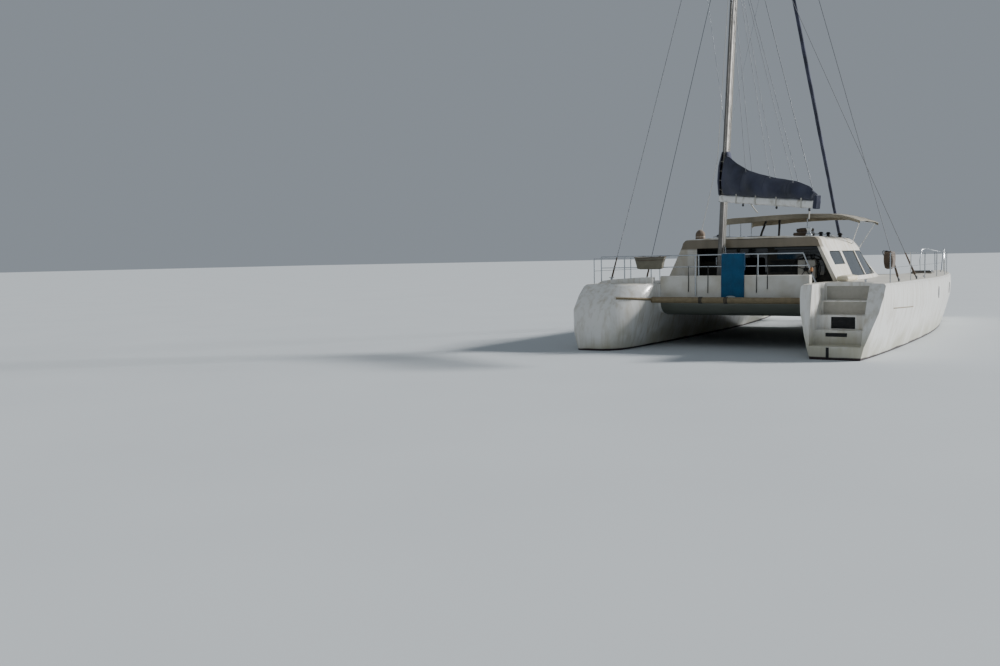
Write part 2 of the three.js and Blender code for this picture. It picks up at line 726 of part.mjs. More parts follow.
// Lifelines follow the deck edge from the stern to the pulpit.
function lifelines(side) {
  const rows = fairRows(hullLines, 6);
  const stations = [1500, 3500, 5500, 7500, 9500, 11300];
  const edge = stations.map((station) => {
    const row = rows.reduce((best, r) => (Math.abs(r[0] - station) < Math.abs(best[0] - station) ? r : best));
    return new THREE.Vector3(side * (hullOffset + row[3] - 110), stern + row[0], row[5]);
  });
  const pieces = [];
  for (const foot of edge) {
    const top = foot.clone().setZ(2120);
    pieces.push(rod(foot.clone().setZ(foot.z - 5), top, 12, 6));
  }
  for (const height of [2110, 1810]) {
    const line = edge.map((point) => point.clone().setZ(height));
    pieces.push(pipe(line, 5));
  }
  return joined(pieces).subtract(deckGuard);
}

function pulpit(side) {
  const centre = side * hullOffset;
  const at = (station, off, z) => new THREE.Vector3(centre + off, stern + station, z);
  const hoop = [
    at(12150, 330, 1470), at(12150, 330, 2120), at(13500, 120, 2140), at(13780, 0, 2100),
    at(13500, -120, 2140), at(12150, -330, 2120), at(12150, -330, 1470),
  ];
  const pieces = [pipe(hoop, tubeRadius)];
  for (const off of [-1, 1]) {
    pieces.push(rod(at(13400, off * 90, 1470), at(13500, off * 120, 2145), tubeRadius, 6));
  }
  return joined(pieces).subtract(grownHulls);
}

// Under water
const podEnd = 171;

function saildrive() {
  const leg = new THREE.Shape();
  leg.absellipse(0, 0, 38, 150, 0, 2 * Math.PI);
  const strut = upright(leg, -620, -250, 8);
  const pod = turned([[0, -230], [60, -150], [70, 0], [52, podEnd - 1], [0, podEnd]], 16);
  return strut.add(pod.rotate([90, 0, 0]).translate([0, 0, -600]));
}

function propeller() {
  const hub = turned([[0, -60], [44, -58], [40, 40], [0, 95]], 16);
  const blades = [0, 120, 240].map((angle) => {
    const blade = new THREE.Shape();
    blade.absellipse(0, 128, 58, 112, 0, 2 * Math.PI);
    const plate = new THREE.ExtrudeGeometry(blade, { depth: 10, bevelEnabled: false, curveSegments: 8 });
    plate.translate(0, 0, -5).rotateY(THREE.MathUtils.degToRad(28));
    plate.rotateZ(THREE.MathUtils.degToRad(angle));
    return solid(plate);
  });
  return joined([hub, ...blades]).rotate([90, 0, 0]);
}

function rudder() {
  const blade = outline([[-270, -35], [130, -35], [110, -820], [-190, -860]]);
  const plate = acrossBoat(blade, -26, 26);
  const stock = rod(new THREE.Vector3(0, 0, -60), new THREE.Vector3(0, 0, -0.6), 24, 12);
  return plate.add(stock);
}

// Steering
function helmConsole() {
  const body = boxSolid(
    helmCentre.x - 210, helmCentre.x + 210, helmCentre.y + 70, bulkheadAft - seam, 1300, 1990,
  );
  const shaft = rod(
    new THREE.Vector3(helmCentre.x, helmCentre.y + 25.6, helmCentre.z),
    new THREE.Vector3(helmCentre.x, helmCentre.y + 100, helmCentre.z), 26, 12,
  );
  return body.add(shaft);
}

function helmWheel() {
  const rim = solid(new THREE.TorusGeometry(helmRadius, 14, 6, 24));
  const hub = solid(new THREE.CylinderGeometry(48, 48, 50, 12).rotateX(Math.PI / 2));
  const spokes = [0, 72, 144, 216, 288].map((degrees) => {
    const angle = THREE.MathUtils.degToRad(degrees + 90);
    const tip = new THREE.Vector3(Math.cos(angle), Math.sin(angle), 0).multiplyScalar(helmRadius);
    return rod(new THREE.Vector3(0, 0, 0), tip, 9, 6);
  });
  return joined([rim, hub, ...spokes]).rotate([90, 0, 0]);
}

function winch() {
  return turned([[0, -30], [75, -30], [78, 30], [52, 60], [48, 120], [66, 165], [66, 185], [0, 190]], 18);
}

// Deck hatch lid, hinged along its forward edge
function hatchLid() {
  return upright(roundedRect(-260, 260, -520, -8, 60), 0.6, 40, 4);
}

function hatchFrame() {
  const outer = upright(roundedRect(-290, 290, -550, 30, 70), -90, 0, 4);
  const hole = upright(roundedRect(-215, 215, -480, -45, 40), -100, 10, 4);
  return outer.subtract(hole);
}

// Canopy over the lounging place on the roof, flatter to port than to starboard
const canopyThick = 14;
const crownAt = (share) => biminiSpan.crown - 30 * (2 * share - 1) ** 2;

function canopySkin(grow) {
  const b = biminiSpan;
  const ring = (share, inset) => {
    const y = THREE.MathUtils.lerp(b.y0 + inset, b.y1 - inset, share);
    const lift = crownAt(share) - inset;
    const half = (b.x1 - b.x0) / 2 - inset;
    const middle = (b.x0 + b.x1) / 2;
    const side = (edge) => new THREE.SplineCurve([
      new THREE.Vector2(half, inset > 0 ? edge - 40 : edge),
      new THREE.Vector2(half * 0.97, edge + 50 - inset),
      new THREE.Vector2(half * 0.6, lift - 30),
      new THREE.Vector2(0, lift),
    ]).getPoints(8);
    const right = side(b.starboard).map((p) => new THREE.Vector3(middle + p.x, y, p.y));
    const left = side(b.port).slice(0, -1).map((p) => new THREE.Vector3(middle - p.x, y, p.y)).reverse();
    return [...right, ...left];
  };
  const outer = lofted([0, 0.25, 0.5, 0.75, 1].map((share) => ring(share, -grow)));
  const inner = lofted([-0.05, 0.25, 0.5, 0.75, 1.05].map((share) => ring(share, canopyThick + grow)));
  return outer.subtract(inner);
}

function biminiFrame() {
  const b = biminiSpan;
  const pieces = [];
  const middle = (b.x0 + b.x1) / 2;
  const half = (b.x1 - b.x0) / 2 - 40;
  for (const share of [0.08, 0.5, 0.92]) {
    const y = THREE.MathUtils.lerp(b.y0, b.y1, share);
    const crown = crownAt(share);
    const bow = [
      [-1, b.port - 20], [-0.93, b.port + 28], [-0.6, crown - 53], [0, crown - 22],
      [0.6, crown - 53], [0.93, b.starboard + 40], [1, b.starboard - 20],
    ].map(([u, z]) => new THREE.Vector3(middle + u * half, y, z));
    pieces.push(pipe(bow, 11));
  }
  for (const [side, edge] of [[-1, b.port], [1, b.starboard]]) {
    const x = middle + side * half;
    const y0 = THREE.MathUtils.lerp(b.y0, b.y1, 0.08);
    const y1 = THREE.MathUtils.lerp(b.y0, b.y1, 0.92);
    pieces.push(rod(new THREE.Vector3(x, y0, edge - 18), new THREE.Vector3(x, y1, edge - 18), 11, 6));
  }
  const roofFeet = [[b.x0 + 40, 0.08], [b.x0 + 40, 0.5], [b.x0 + 40, 0.92]];
  for (const [x, share] of roofFeet) {
    const y = THREE.MathUtils.lerp(b.y0, b.y1, share);
    pieces.push(rod(new THREE.Vector3(x, y, 2450), new THREE.Vector3(x, y, b.port - 10), 11, 6));
  }
  // Struts rake forward from the starboard edge to the roof's shoulder.
  for (const [share, footY] of [[0.08, stern + 6700], [0.92, stern + 7700]]) {
    const y = THREE.MathUtils.lerp(b.y0, b.y1, share);
    pieces.push(rod(new THREE.Vector3(1480, footY, 2250), new THREE.Vector3(b.x1 - 40, y, b.starboard - 10), 11, 6));
  }
  return joined(pieces).subtract(roofGuard).subtract(deckGuard).subtract(canopySkin(seam));
}

const roofGuard = lofted(cabinRows.map((row) => cabinRing([row[0], row[1] + seam, row[2] + seam, row[3] + seam], 0)));

function roofSeat() {
  const foot = stern + 4020;
  return boxSolid(700, 1150, foot, foot + 420, 2480, 2760).subtract(roofGuard);
}

// Canvas bags hung on the rails
const bagHalf = 110;

function railBag(topHalf, bottomHalf, tall) {
  const shape = outline([[-topHalf, tall], [topHalf, tall], [bottomHalf, -tall], [-bottomHalf, -tall]]);
  return alongBoat(shape, -bagHalf, bagHalf);
}

function anchorOnRoller() {
  const y = stern + beamStation;
  const shank = acrossBoat(outline([[y + 110, 1540], [y + 980, 1440], [y + 980, 1400], [y + 110, 1490]]), -14, 14);
  const fluke = acrossBoat(outline([[y + 1000, 1450], [y + 960, 1170], [y + 560, 1190], [y + 930, 1300]]), -150, 150);
  const cheek = acrossBoat(outline([[y + 70.4, 1400], [y + 70.4, 1560], [y + 420, 1540], [y + 420, 1440]]), -34, 34);
  return shank.add(fluke).add(cheek);
}

function towel() {
  const top = railTop + tubeRadius;
  const profile = outline([
    [railY + 30, 1800], [railY + 27, top - 4], [railY, top + 13], [railY - 29, top - 3],
    [coamingAft - 14, coamingTop + 40], [coamingAft - 22, 1140], [coamingAft - 12, 1140],
    [coamingAft - 4, coamingTop + 30], [railY - 20, top - 5.5], [railY, top + 0.9], [railY + 19, top - 5.5],
    [railY + 20, 1800],
  ]);
  return acrossBoat(profile, -250, 330);
}

// Assembly
const boat = new THREE.Group();
boat.name = "sailing_catamaran";
const add = (name, body, material, parent = boat) => {
  const mesh = named(name, body, material);
  parent.add(mesh);
  return mesh;
};

const sides = [["port", -1], ["starboard", 1]];
for (const [word, side] of sides) {
  add(word + "_hull", hull(side), gelcoat);
  add(word + "_trampoline", trampoline(side), netting);
  add(word + "_lifelines", lifelines(side), stainless);
  add(word + "_pulpit", pulpit(side), stainless);
  add(word + "_cap_shroud", shroud(side, 2400, houndsHeight), stainless);
  add(word + "_lower_shroud", shroud(side, 4600, lowersHeight), stainless);
  const glass = (cut) => paneSkin.intersect(cut);
  add(word + "_side_window", glass(sideWindowCutter(side, seam)), smokedGlass);
  add(word + "_front_window", glass(frontWindowCutter(side, seam)), smokedGlass);

  const legPlace = [side * hullOffset, stern + legStation, 0];
  add(word + "_saildrive", seated(saildrive(), legPlace, grownHulls), antifouling).position.set(...legPlace);
  const screw = add(word + "_propeller", propeller(), bronze);
  screw.position.set(side * hullOffset, stern + legStation - podEnd - 60.6, -600);
  const blade = add(word + "_rudder", rudder(), antifouling);
  blade.position.copy(rudderPivot(side));
  blade.rotation.x = rudderRake;

  const hatchPlace = [side * hullOffset, stern + 10700, 1535];
  add(word + "_hatch_frame", seated(hatchFrame(), hatchPlace, grownHulls), alloy).position.set(...hatchPlace);
  add(word + "_hatch_lid", hatchLid(), smokedGlass).position.set(...hatchPlace);

  const winchPlace = [side * 1330, stern + 3150, 2552];
  add(word + "_winch", seated(winch(), winchPlace, roofGuard), stainless).position.set(...winchPlace);
}

add("bridgedeck", bridgedeck(), deckPaint);
add("coachroof", coachroof(), gelcoat);
add("saloon_bulkhead", bulkhead(), gelcoat);
add("bulkhead_window", aftGlass(), smokedGlass);
const door = add("saloon_door", saloonDoor(), smokedGlass);
door.position.y = bulkheadAft + 50; // runs along the sill
add("aft_bench", aftBench(), deckPaint);
add("cockpit_table", cockpitTable(), gelcoat);
add("saloon_settee", saloonSettee(), brownCanvas);

add("mast", mast(), alloy);
const boomGroup = new THREE.Group();
boomGroup.position.copy(goose);
boomGroup.rotation.order = "ZXY";
boomGroup.rotation.z = boomSwing;
boomGroup.rotation.x = boomDroop;
boat.add(boomGroup);
add("boom", boomTube(), whiteAlloy, boomGroup);
add("sail_cover", sailCover(), navyCanvas, boomGroup);
add("mast_collar", mastCollar(), navyCanvas);
add("furled_headsail", forestay(), navyCanvas);

add("aft_crossbeam", aftBeam(), gelcoat);
add("forward_crossbeam", forwardBeam(), alloy);
add("centre_spine", centreSpine(), gelcoat);
add("anchor", anchorOnRoller(), stainless);
add("stern_rail", sternRail(), stainless);
add("helm_console", helmConsole(), gelcoat);
const wheel = add("helm_wheel", helmWheel(), stainless);
wheel.position.copy(helmCentre);
add("bimini_top", canopySkin(0), khakiCanvas);
add("bimini_frame", biminiFrame(), stainless);
add("roof_seat", roofSeat(), brownCanvas);
add("towel", towel(), tealCloth);

const portBag = add("port_rail_bag", railBag(400, 320, 155), brownCanvas);
portBag.position.set(-1970, railY - tubeRadius - bagHalf - 0.4, 1985);
const starboardBag = add("starboard_rail_bag", railBag(230, 150, 190), brownCanvas);
starboardBag.position.set(3321, stern + 1980, 1960);
starboardBag.rotation.z = Math.PI / 2;

export default boat;
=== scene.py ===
import json
from functools import partial
from math import copysign, cos, pi, radians, sin

import bmesh
import bpy
from mathutils import Matrix, Vector, noise
from mathutils.bvhtree import BVHTree

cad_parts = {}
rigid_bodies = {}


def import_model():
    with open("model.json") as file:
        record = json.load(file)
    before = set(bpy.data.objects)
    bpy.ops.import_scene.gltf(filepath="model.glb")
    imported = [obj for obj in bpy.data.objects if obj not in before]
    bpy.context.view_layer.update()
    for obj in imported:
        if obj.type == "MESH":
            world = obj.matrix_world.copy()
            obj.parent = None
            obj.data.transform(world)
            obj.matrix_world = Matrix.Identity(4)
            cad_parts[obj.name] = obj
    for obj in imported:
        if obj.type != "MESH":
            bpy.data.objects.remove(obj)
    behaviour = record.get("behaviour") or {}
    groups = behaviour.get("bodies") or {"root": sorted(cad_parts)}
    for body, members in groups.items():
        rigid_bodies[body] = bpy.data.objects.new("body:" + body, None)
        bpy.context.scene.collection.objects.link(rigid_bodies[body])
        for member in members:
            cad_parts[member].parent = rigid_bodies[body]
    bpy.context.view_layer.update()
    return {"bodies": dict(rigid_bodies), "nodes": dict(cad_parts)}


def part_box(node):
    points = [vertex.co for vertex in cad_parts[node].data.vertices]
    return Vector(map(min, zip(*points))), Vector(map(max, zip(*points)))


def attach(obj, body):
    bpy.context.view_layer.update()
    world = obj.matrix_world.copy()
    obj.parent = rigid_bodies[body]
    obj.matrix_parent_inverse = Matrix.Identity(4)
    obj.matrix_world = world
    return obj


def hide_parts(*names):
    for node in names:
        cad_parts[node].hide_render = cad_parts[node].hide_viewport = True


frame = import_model()
nodes = frame["nodes"]
sides = {"port": -1, "starboard": 1}


def up(height):
    return Vector((0, 0, height))


def inScene(name, data):
    thing = bpy.data.objects.new(name, data)
    bpy.context.scene.collection.objects.link(thing)
    return thing


def asMesh(name, bm):
    mesh = bpy.data.meshes.new(name)
    bm.to_mesh(mesh)
    bm.free()
    return mesh


# Camera, fitted to the horizon and the waterlines of both hulls in the 1000 x 666 frame
photo = {"width": 1000, "height": 666, "focal": 939, "horizonY": 259.2, "rollDegrees": 1.17}
viewpoint = {"place": (7.24, -26.29, 2.15), "headingDegrees": 33}


def aimCamera():
    heading = radians(viewpoint["headingDegrees"])
    drop = (photo["height"] / 2 - photo["horizonY"]) / photo["focal"]
    forward = Vector((-sin(heading), cos(heading), -drop)).normalized()
    right = forward.cross(up(1)).normalized()
    above = right.cross(forward)
    roll = radians(photo["rollDegrees"])
    tiltedRight = right * cos(roll) - above * sin(roll)
    tiltedUp = above * cos(roll) + right * sin(roll)
    data = bpy.data.cameras.new("quarterView")
    data.sensor_width = 36
    data.lens = data.sensor_width * photo["focal"] / photo["width"]
    data.clip_end = 2000
    camera = inScene("quarterView", data)
    turn = Matrix((tiltedRight, tiltedUp, -forward)).transposed().to_4x4()
    camera.matrix_world = Matrix.Translation(viewpoint["place"]) @ turn
    bpy.context.scene.camera = camera


aimCamera()
print("camera placed")


# Materials
def linear(hexColour):
    channels = [int(hexColour[i:i + 2], 16) / 255 for i in (1, 3, 5)]
    return [c / 12.92 if c <= 0.04045 else ((c + 0.055) / 1.055) ** 2.4 for c in channels] + [1.0]


def addNode(tree, kind, inputs=(), output=0, **settings):
    # Inputs go by name, or as a list from the first on: for MapRange the value, the range it comes in
    # and the range it leaves in, for Mix the share and two colours. A string is a colour, and a node
    # that wants a vector and is given none reads the piece's own coordinates
    node = tree.nodes.new("ShaderNode" + kind)
    names = range(len(node.inputs))
    if kind == "Mix":
        node.data_type = "RGBA"
        names, output = (0, 6, 7), 2
    for name, value in settings.items():
        setattr(node, name, value)
    values = dict(inputs if isinstance(inputs, dict) else zip(names, inputs))
    if "Vector" in node.inputs and not {"Vector", 0} & values.keys():
        values["Vector"] = tree.nodes["Texture Coordinate"].outputs["Object"]
    for name, value in values.items():
        if isinstance(value, bpy.types.NodeSocket):
            tree.links.new(value, node.inputs[name])
        else:
            node.inputs[name].default_value = linear(value) if isinstance(value, str) else value
    return node.outputs[output]


def newMaterial(name, **sockets):
    material = bpy.data.materials.new(name)
    material.use_nodes = True
    for socket, value in sockets.items():
        material.node_tree.nodes["Principled BSDF"].inputs[socket.replace("_", " ")].default_value = value
    add = partial(addNode, material.node_tree)
    add("TexCoord")
    return material, add


def dress(material, colour, roughness=None, height=None, distance=0.001, strength=0.5):
    tree = material.node_tree
    outputs = {"Base Color": colour, "Roughness": roughness}
    if height is not None:
        relief = {"Height": height, "Distance": distance, "Strength": strength}
        outputs["Normal"] = addNode(tree, "Bump", relief)
    for name, output in outputs.items():
        if output is not None:
            tree.links.new(output, tree.nodes["Principled BSDF"].inputs[name])
    return material


def hullGelcoat():
    # Polyester gelcoat from a polished mould: white, chalked by sun, with runs of dirt down the
    # sides, yellow-green scum at the water and matt dark antifouling below; decks are non-skid
    material, add = newMaterial("hullGelcoat", Coat_Weight=0.25, Coat_Roughness=0.15)
    height = add("SeparateXYZ", output=2)
    facing = add("SeparateXYZ", [add("TexCoord", output="Normal")], 2)
    drawnOut = add("Mapping", {"Scale": (6.0, 6.0, 0.5)})
    runs = add("TexNoise", {"Vector": drawnOut, "Scale": 1.5, "Detail": 6.0})
    runsFade = add("MapRange", [runs, 0.46, 0.75])
    white = add("Mix", [runsFade, "#e8e7e2", "#c9c3b3"])
    cloud = add("TexNoise", {"Scale": 1.1, "Detail": 5.0})
    wave = add("MapRange", [cloud, 0.3, 0.7, -0.3, 0.3])
    scumLine = add("Math", [height, wave], operation="ADD")
    scum = add("MapRange", [scumLine, 0.5, 0.05, 0.0, 0.7])
    stained = add("Mix", [scum, white, "#a8a386"])
    rustRuns = add("Mapping", {"Scale": (2.2, 2.2, 0.25)})
    rust = add("TexNoise", {"Vector": rustRuns, "Scale": 2.6, "Detail": 3.0})
    rustFade = add("MapRange", [rust, 0.66, 0.82, 0.0, 0.5])
    dirty = add("Mix", [rustFade, stained, "#8d6f4b"])
    upward = add("MapRange", [facing, 0.88, 0.94])
    above = add("MapRange", [height, 1.38, 1.42])
    deck = add("Math", [upward, above], operation="MULTIPLY")
    dust = add("TexNoise", {"Scale": 3.0, "Detail": 8.0})
    tread = add("Mix", [dust, "#d8d5cb", "#bdb7a8"])
    topside = add("Mix", [deck, dirty, tread])
    ragged = add("MapRange", [cloud, 0.0, 1.0, -0.03, 0.03])
    edge = add("Math", [height, ragged], operation="ADD")
    below = add("MapRange", [edge, 0.055, 0.04])
    paint = add("Mix", [dust, "#33181a", "#171314"])
    colour = add("Mix", [below, topside, paint])
    matt = add("Math", [below, deck], operation="MAXIMUM")
    roughness = add("MapRange", [matt, 0.0, 1.0, 0.28, 0.72])
    grit = add("TexVoronoi", {"Scale": 110.0})  # 9 mm, to show
    relief = add("Math", [grit, deck], operation="MULTIPLY")
    return dress(material, colour, roughness, relief, 0.0012, 0.6)


def deckGelcoat():
    # The same gelcoat where rain washes it: duller, off-white, with fine non-skid on what lies flat,
    # and a painted grey-green shade on the stern face under the beam and beneath the bridgedeck
    material, add = newMaterial("deckGelcoat", Coat_Weight=0.15)
    dust = add("TexNoise", {"Scale": 2.2, "Detail": 8.0})
    fade = add("MapRange", [dust, 0.38, 0.7])
    base = add("Mix", [fade, "#dcdad2", "#bfb8a7"])
    height = add("SeparateXYZ", output=2)
    distanceForward = add("SeparateXYZ", output=1)
    # Painted shade: grey-green darkening beneath the bridgedeck and on the stern face under the beam
    underDeckShade = add("MapRange", [height, 0.84, 0.78])
    underBeam = add("MapRange", [height, 1.14, 1.04])
    aft = add("MapRange", [distanceForward, -5.1, -5.15])
    sternFaceShade = add("Math", [underBeam, aft], operation="MULTIPLY")
    reach = add("Math", [underDeckShade, sternFaceShade], operation="MAXIMUM")
    low = add("Math", [reach, 0.93], operation="MULTIPLY")
    colour = add("Mix", [low, base, "#565c52"])
    facing = add("SeparateXYZ", [add("TexCoord", output="Normal")], 2)
    upward = add("MapRange", [facing, 0.9, 0.96])
    grit = add("TexVoronoi", {"Scale": 110.0})
    relief = add("Math", [grit, upward], operation="MULTIPLY")
    roughness = add("MapRange", [upward, 0.0, 1.0, 0.4, 0.7])
    return dress(material, colour, roughness, relief, 0.0012, 0.6)


def roofGelcoat():
    # Cabin moulding: off-white gelcoat, streaked by rain, with a beige painted band along the roof's
    # aft edge; the band's beige is darkened as a painted shade
    material, add = newMaterial("roofGelcoat", Coat_Weight=0.2)
    distanceForward = add("SeparateXYZ", output=1)
    height = add("SeparateXYZ", output=2)
    drawnOut = add("Mapping", {"Scale": (3.0, 3.0, 0.6)})
    dust = add("TexNoise", {"Vector": drawnOut, "Scale": 1.6, "Detail": 6.0})
    fade = add("MapRange", [dust, 0.4, 0.72])
    white = add("Mix", [fade, "#e2dfd7", "#c0b69f"])
    # The band's beige is darker than its paint: painted shade on the aft-facing band
    shadedBeige = add("Mix", [dust, "#8d8371", "#716857"])
    aft = add("MapRange", [distanceForward, -3.9, -3.97])
    band = add("MapRange", [height, 2.53, 2.51])
    overDoor = add("MapRange", [height, 2.26, 2.31, 0.15])
    strip = add("Math", [band, overDoor], operation="MULTIPLY")
    beigeArea = add("Math", [aft, strip], operation="MULTIPLY")
    colour = add("Mix", [beigeArea, white, shadedBeige])
    roughness = add("MapRange", [dust, 0.0, 1.0, 0.3, 0.5])
    ripple = add("TexNoise", {"Scale": 2.0, "Detail": 1.0})
    return dress(material, colour, roughness, ripple, 0.004, 0.4)


def smokedAcrylic():
    # Cast acrylic tinted grey: glass-smooth and dark, hazed by salt in patches
    material, add = newMaterial("smokedAcrylic", IOR=1.49, Coat_Weight=0.6, Coat_Roughness=0.05)
    haze = add("TexNoise", {"Scale": 2.5, "Detail": 6.0})
    colour = add("Mix", [haze, "#11151a", "#343a3d"])
    roughness = add("MapRange", [haze, 0.3, 0.8, 0.04, 0.22])
    return dress(material, colour, roughness)


def bareMetal(name, light, dark, rough, grain):
    # Bare metal: tone and gloss drift with salt and handling, fine draw lines run along the grain
    material, add = newMaterial(name, Metallic=1.0)
    patch = add("TexNoise", {"Scale": 5.0, "Detail": 4.0})
    colour = add("Mix", [patch, light, dark])
    roughness = add("MapRange", [patch, 0.3, 0.7, rough - 0.06, rough + 0.1])
    along = add("Mapping", {"Scale": grain})
    lines = add("TexNoise", {"Vector": along, "Scale": 60.0, "Detail": 2.0})
    return dress(material, colour, roughness, lines, 0.0004, 0.3)


def wovenCanvas(name, light, dark, thread=0.008):
    # Acrylic awning canvas: matt plain weave, bleached by sun in clouds; threads are drawn 8 mm
    # apart, ten times too coarse, so that the weave shows
    material, add = newMaterial(name, Roughness=0.92, Sheen_Weight=0.2, Sheen_Roughness=0.5)
    cloud = add("TexNoise", {"Scale": 1.7, "Detail": 7.0})
    fade = add("MapRange", [cloud, 0.36, 0.68])
    base = add("Mix", [fade, light, dark])
    turns = 2 * pi / thread / 20
    waves = [add("TexWave", {"Scale": turns, "Distortion": 0.5}, "Fac",
                 bands_direction=axis) for axis in "XYZ"]
    crossed = add("Math", [waves[0], waves[1]], operation="ADD")
    weave = add("Math", [crossed, waves[2]], operation="ADD")
    shade = add("MapRange", [weave, 0.0, 3.0, 0.86, 1.08])
    grey = add("CombineColor", [shade] * 3)
    colour = add("Mix", [1.0, base, grey], blend_type="MULTIPLY")
    creases = add("TexNoise", {"Scale": 5.0, "Detail": 5.0})
    deep = add("Math", [creases, 14.0], operation="MULTIPLY")
    relief = add("Math", [deep, weave], operation="ADD")
    return dress(material, colour, None, relief, 0.0007, 0.6)


def terryCloth():
    # Cotton terry: looped pile without gloss, deep blue, faded where the sun reaches, with a pale
    # patch at the hem
    material, add = newMaterial("terryCloth", Roughness=1.0, Sheen_Weight=0.4)
    cloud = add("TexNoise", {"Scale": 5.0, "Detail": 7.0})
    blue = add("Mix", [cloud, "#1c6690", "#0f3a58"])
    onPatch = add("Mapping", {"Location": (0.17, 0.0, -29.2), "Scale": (8.5, 0.0, 25.0)})
    reach = add("VectorMath", [onPatch], "Value", operation="LENGTH")
    inside = add("MapRange", [reach, 1.05, 0.95])
    colour = add("Mix", [inside, blue, "#b9c4c4"])
    loops = add("TexVoronoi", {"Scale": 220.0})
    return dress(material, colour, None, loops, 0.003, 0.7)


def antifoulingPaint():
    # Rolled copper antifouling: matt, dark red worn to black
    material, add = newMaterial("antifoulingPaint")
    patch = add("TexNoise", {"Scale": 7.0, "Detail": 7.0})
    colour = add("Mix", [patch, "#3c1b1d", "#171314"])
    roughness = add("MapRange", [patch, 0.0, 1.0, 0.65, 0.9])
    stipple = add("TexNoise", {"Scale": 45.0, "Detail": 3.0})
    return dress(material, colour, roughness, stipple, 0.0012, 0.5)


def braidedRope(name, light, dark):
    # Braided polyester: slanted plaits 12 mm long, soft and matt
    material, add = newMaterial(name, Roughness=0.85)
    plait = add("TexWave", {"Scale": 26.0, "Distortion": 1.0}, "Fac",
                bands_direction="DIAGONAL")
    colour = add("Mix", [plait, light, dark])
    return dress(material, colour, None, plait, 0.001, 0.6)


def paintedSpar():
    # White two-pack paint on the boom: glossy, with chalky scuffs
    material, add = newMaterial("paintedSpar", Coat_Weight=0.2)
    scuff = add("TexNoise", {"Scale": 6.0, "Detail": 8.0})
    fade = add("MapRange", [scuff, 0.5, 0.75])
    colour = add("Mix", [fade, "#ecebe7", "#b9b3a4"])
    roughness = add("MapRange", [fade, 0.0, 1.0, 0.28, 0.55])
    return dress(material, colour, roughness, scuff, 0.0005, 0.4)


def mouldedPlastic(name, light, dark, rough=0.45):
    # Injection-moulded nylon or rubber: fine spark-eroded grain
    material, add = newMaterial(name, Specular_IOR_Level=0.4)
    patch = add("TexNoise", {"Scale": 12.0, "Detail": 5.0})
    colour = add("Mix", [patch, light, dark])
    roughness = add("MapRange", [patch, 0.0, 1.0, rough - 0.1, rough + 0.15])
    grain = add("TexNoise", {"Scale": 300.0, "Detail": 2.0})
    return dress(material, colour, roughness, grain, 0.0005, 0.4)


def marineVinyl():
    # Embossed vinyl over foam: off-white leather grain, yellowed at the folds
    material, add = newMaterial("marineVinyl", Roughness=0.5)
    age = add("TexNoise", {"Scale": 4.0, "Detail": 6.0})
    colour = add("Mix", [age, "#efece2", "#c9b98a"])
    grain = add("TexVoronoi", {"Scale": 160.0})
    return dress(material, colour, None, grain, 0.0015, 0.5)


def amberLens():
    # Clear polycarbonate dyed amber, ribbed inside
    material, add = newMaterial("amberLens", IOR=1.58, Roughness=0.2)
    ribs = add("TexWave", {"Scale": 20.0}, "Fac", bands_direction="Z")
    colour = add("Mix", [ribs, "#c98a4c", "#a2683a"])
    return dress(material, colour, None, ribs, 0.002, 0.6)


materials = {
    "gelcoat": hullGelcoat(),
    "deck_paint": deckGelcoat(),
    "roof": roofGelcoat(),
    "smoked_glass": smokedAcrylic(),
    "stainless": bareMetal("polishedStainless", "#ccd0d3", "#9a9fa4", 0.2, (1.0, 1.0, 1.0)),
    # Anodised alloy for the spars and frames, its grey darkened as painted shade
    "spar_alloy": bareMetal("shadedAnodisedSpar", "#8f8d89", "#6b6864", 0.5, (20.0, 20.0, 0.3)),
    "white_alloy": paintedSpar(),
    "navy_canvas": wovenCanvas("navyCanvas", "#3c4056", "#191e2d"),
    "khaki_canvas": wovenCanvas("khakiCanvas", "#989180", "#716b5c"),
    "brown_canvas": wovenCanvas("brownCanvas", "#6c5d4e", "#44382c"),
    "greyCanvas": wovenCanvas("greyCanvas", "#807c6c", "#524f43"),
    "teal_cloth": terryCloth(),
    "netting": braidedRope("netCord", "#46474a", "#232427"),
    "bronze": bareMetal("castBronze", "#8d6f3f", "#5f4d2c", 0.45, (1.0, 1.0, 1.0)),
    "antifouling": antifoulingPaint(),
    "whiteRope": braidedRope("whiteBraid", "#d9d6cc", "#a19d90"),
    "wireRope": bareMetal("wireRope", "#6e7072", "#4d4f52", 0.45, (1.0, 1.0, 1.0)),
    "tanStrake": mouldedPlastic("tanStrake", "#97896b", "#6a5d45", 0.6),
    "riserPaintedShade": mouldedPlastic("riserPaintedShade", "#b7b4aa", "#9d998e", 0.6),
    # The saloon bulkhead is white gelcoat, painted dark grey as the shade under the roof
    "shadedPanel": mouldedPlastic("bulkheadPaintedShade", "#4c4a43", "#34332e", 0.6),
    "blackPlastic": mouldedPlastic("blackNylon", "#1b1c1e", "#0d0e0f"),
    "greyRubber": mouldedPlastic("greyRubber", "#3c3d3e", "#232425", 0.7),
    "vinyl": marineVinyl(),
    "amber": amberLens(),
}
print("materials made")


# Making and finishing pieces
def riding(piece, body):
    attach(piece, body)
    return piece


def finishPiece(name, bm, material, body="boat", smooth=40.0):
    mesh = asMesh(name, bm)
    mesh.materials.append(materials[material])
    mesh.shade_smooth()
    mesh.set_sharp_from_angle(angle=radians(smooth))
    return riding(inScene(name, mesh), body)


def copyOfNode(nodeName):
    bm = bmesh.new()
    bm.from_mesh(nodes[nodeName].data)
    bmesh.ops.remove_doubles(bm, verts=bm.verts[:], dist=0.0001)
    if nodeName == "port_hull":
        closeSlivers(bm)
    else:
        bmesh.ops.dissolve_limit(bm, angle_limit=radians(0.6), verts=bm.verts[:], edges=bm.edges[:])
    return bm


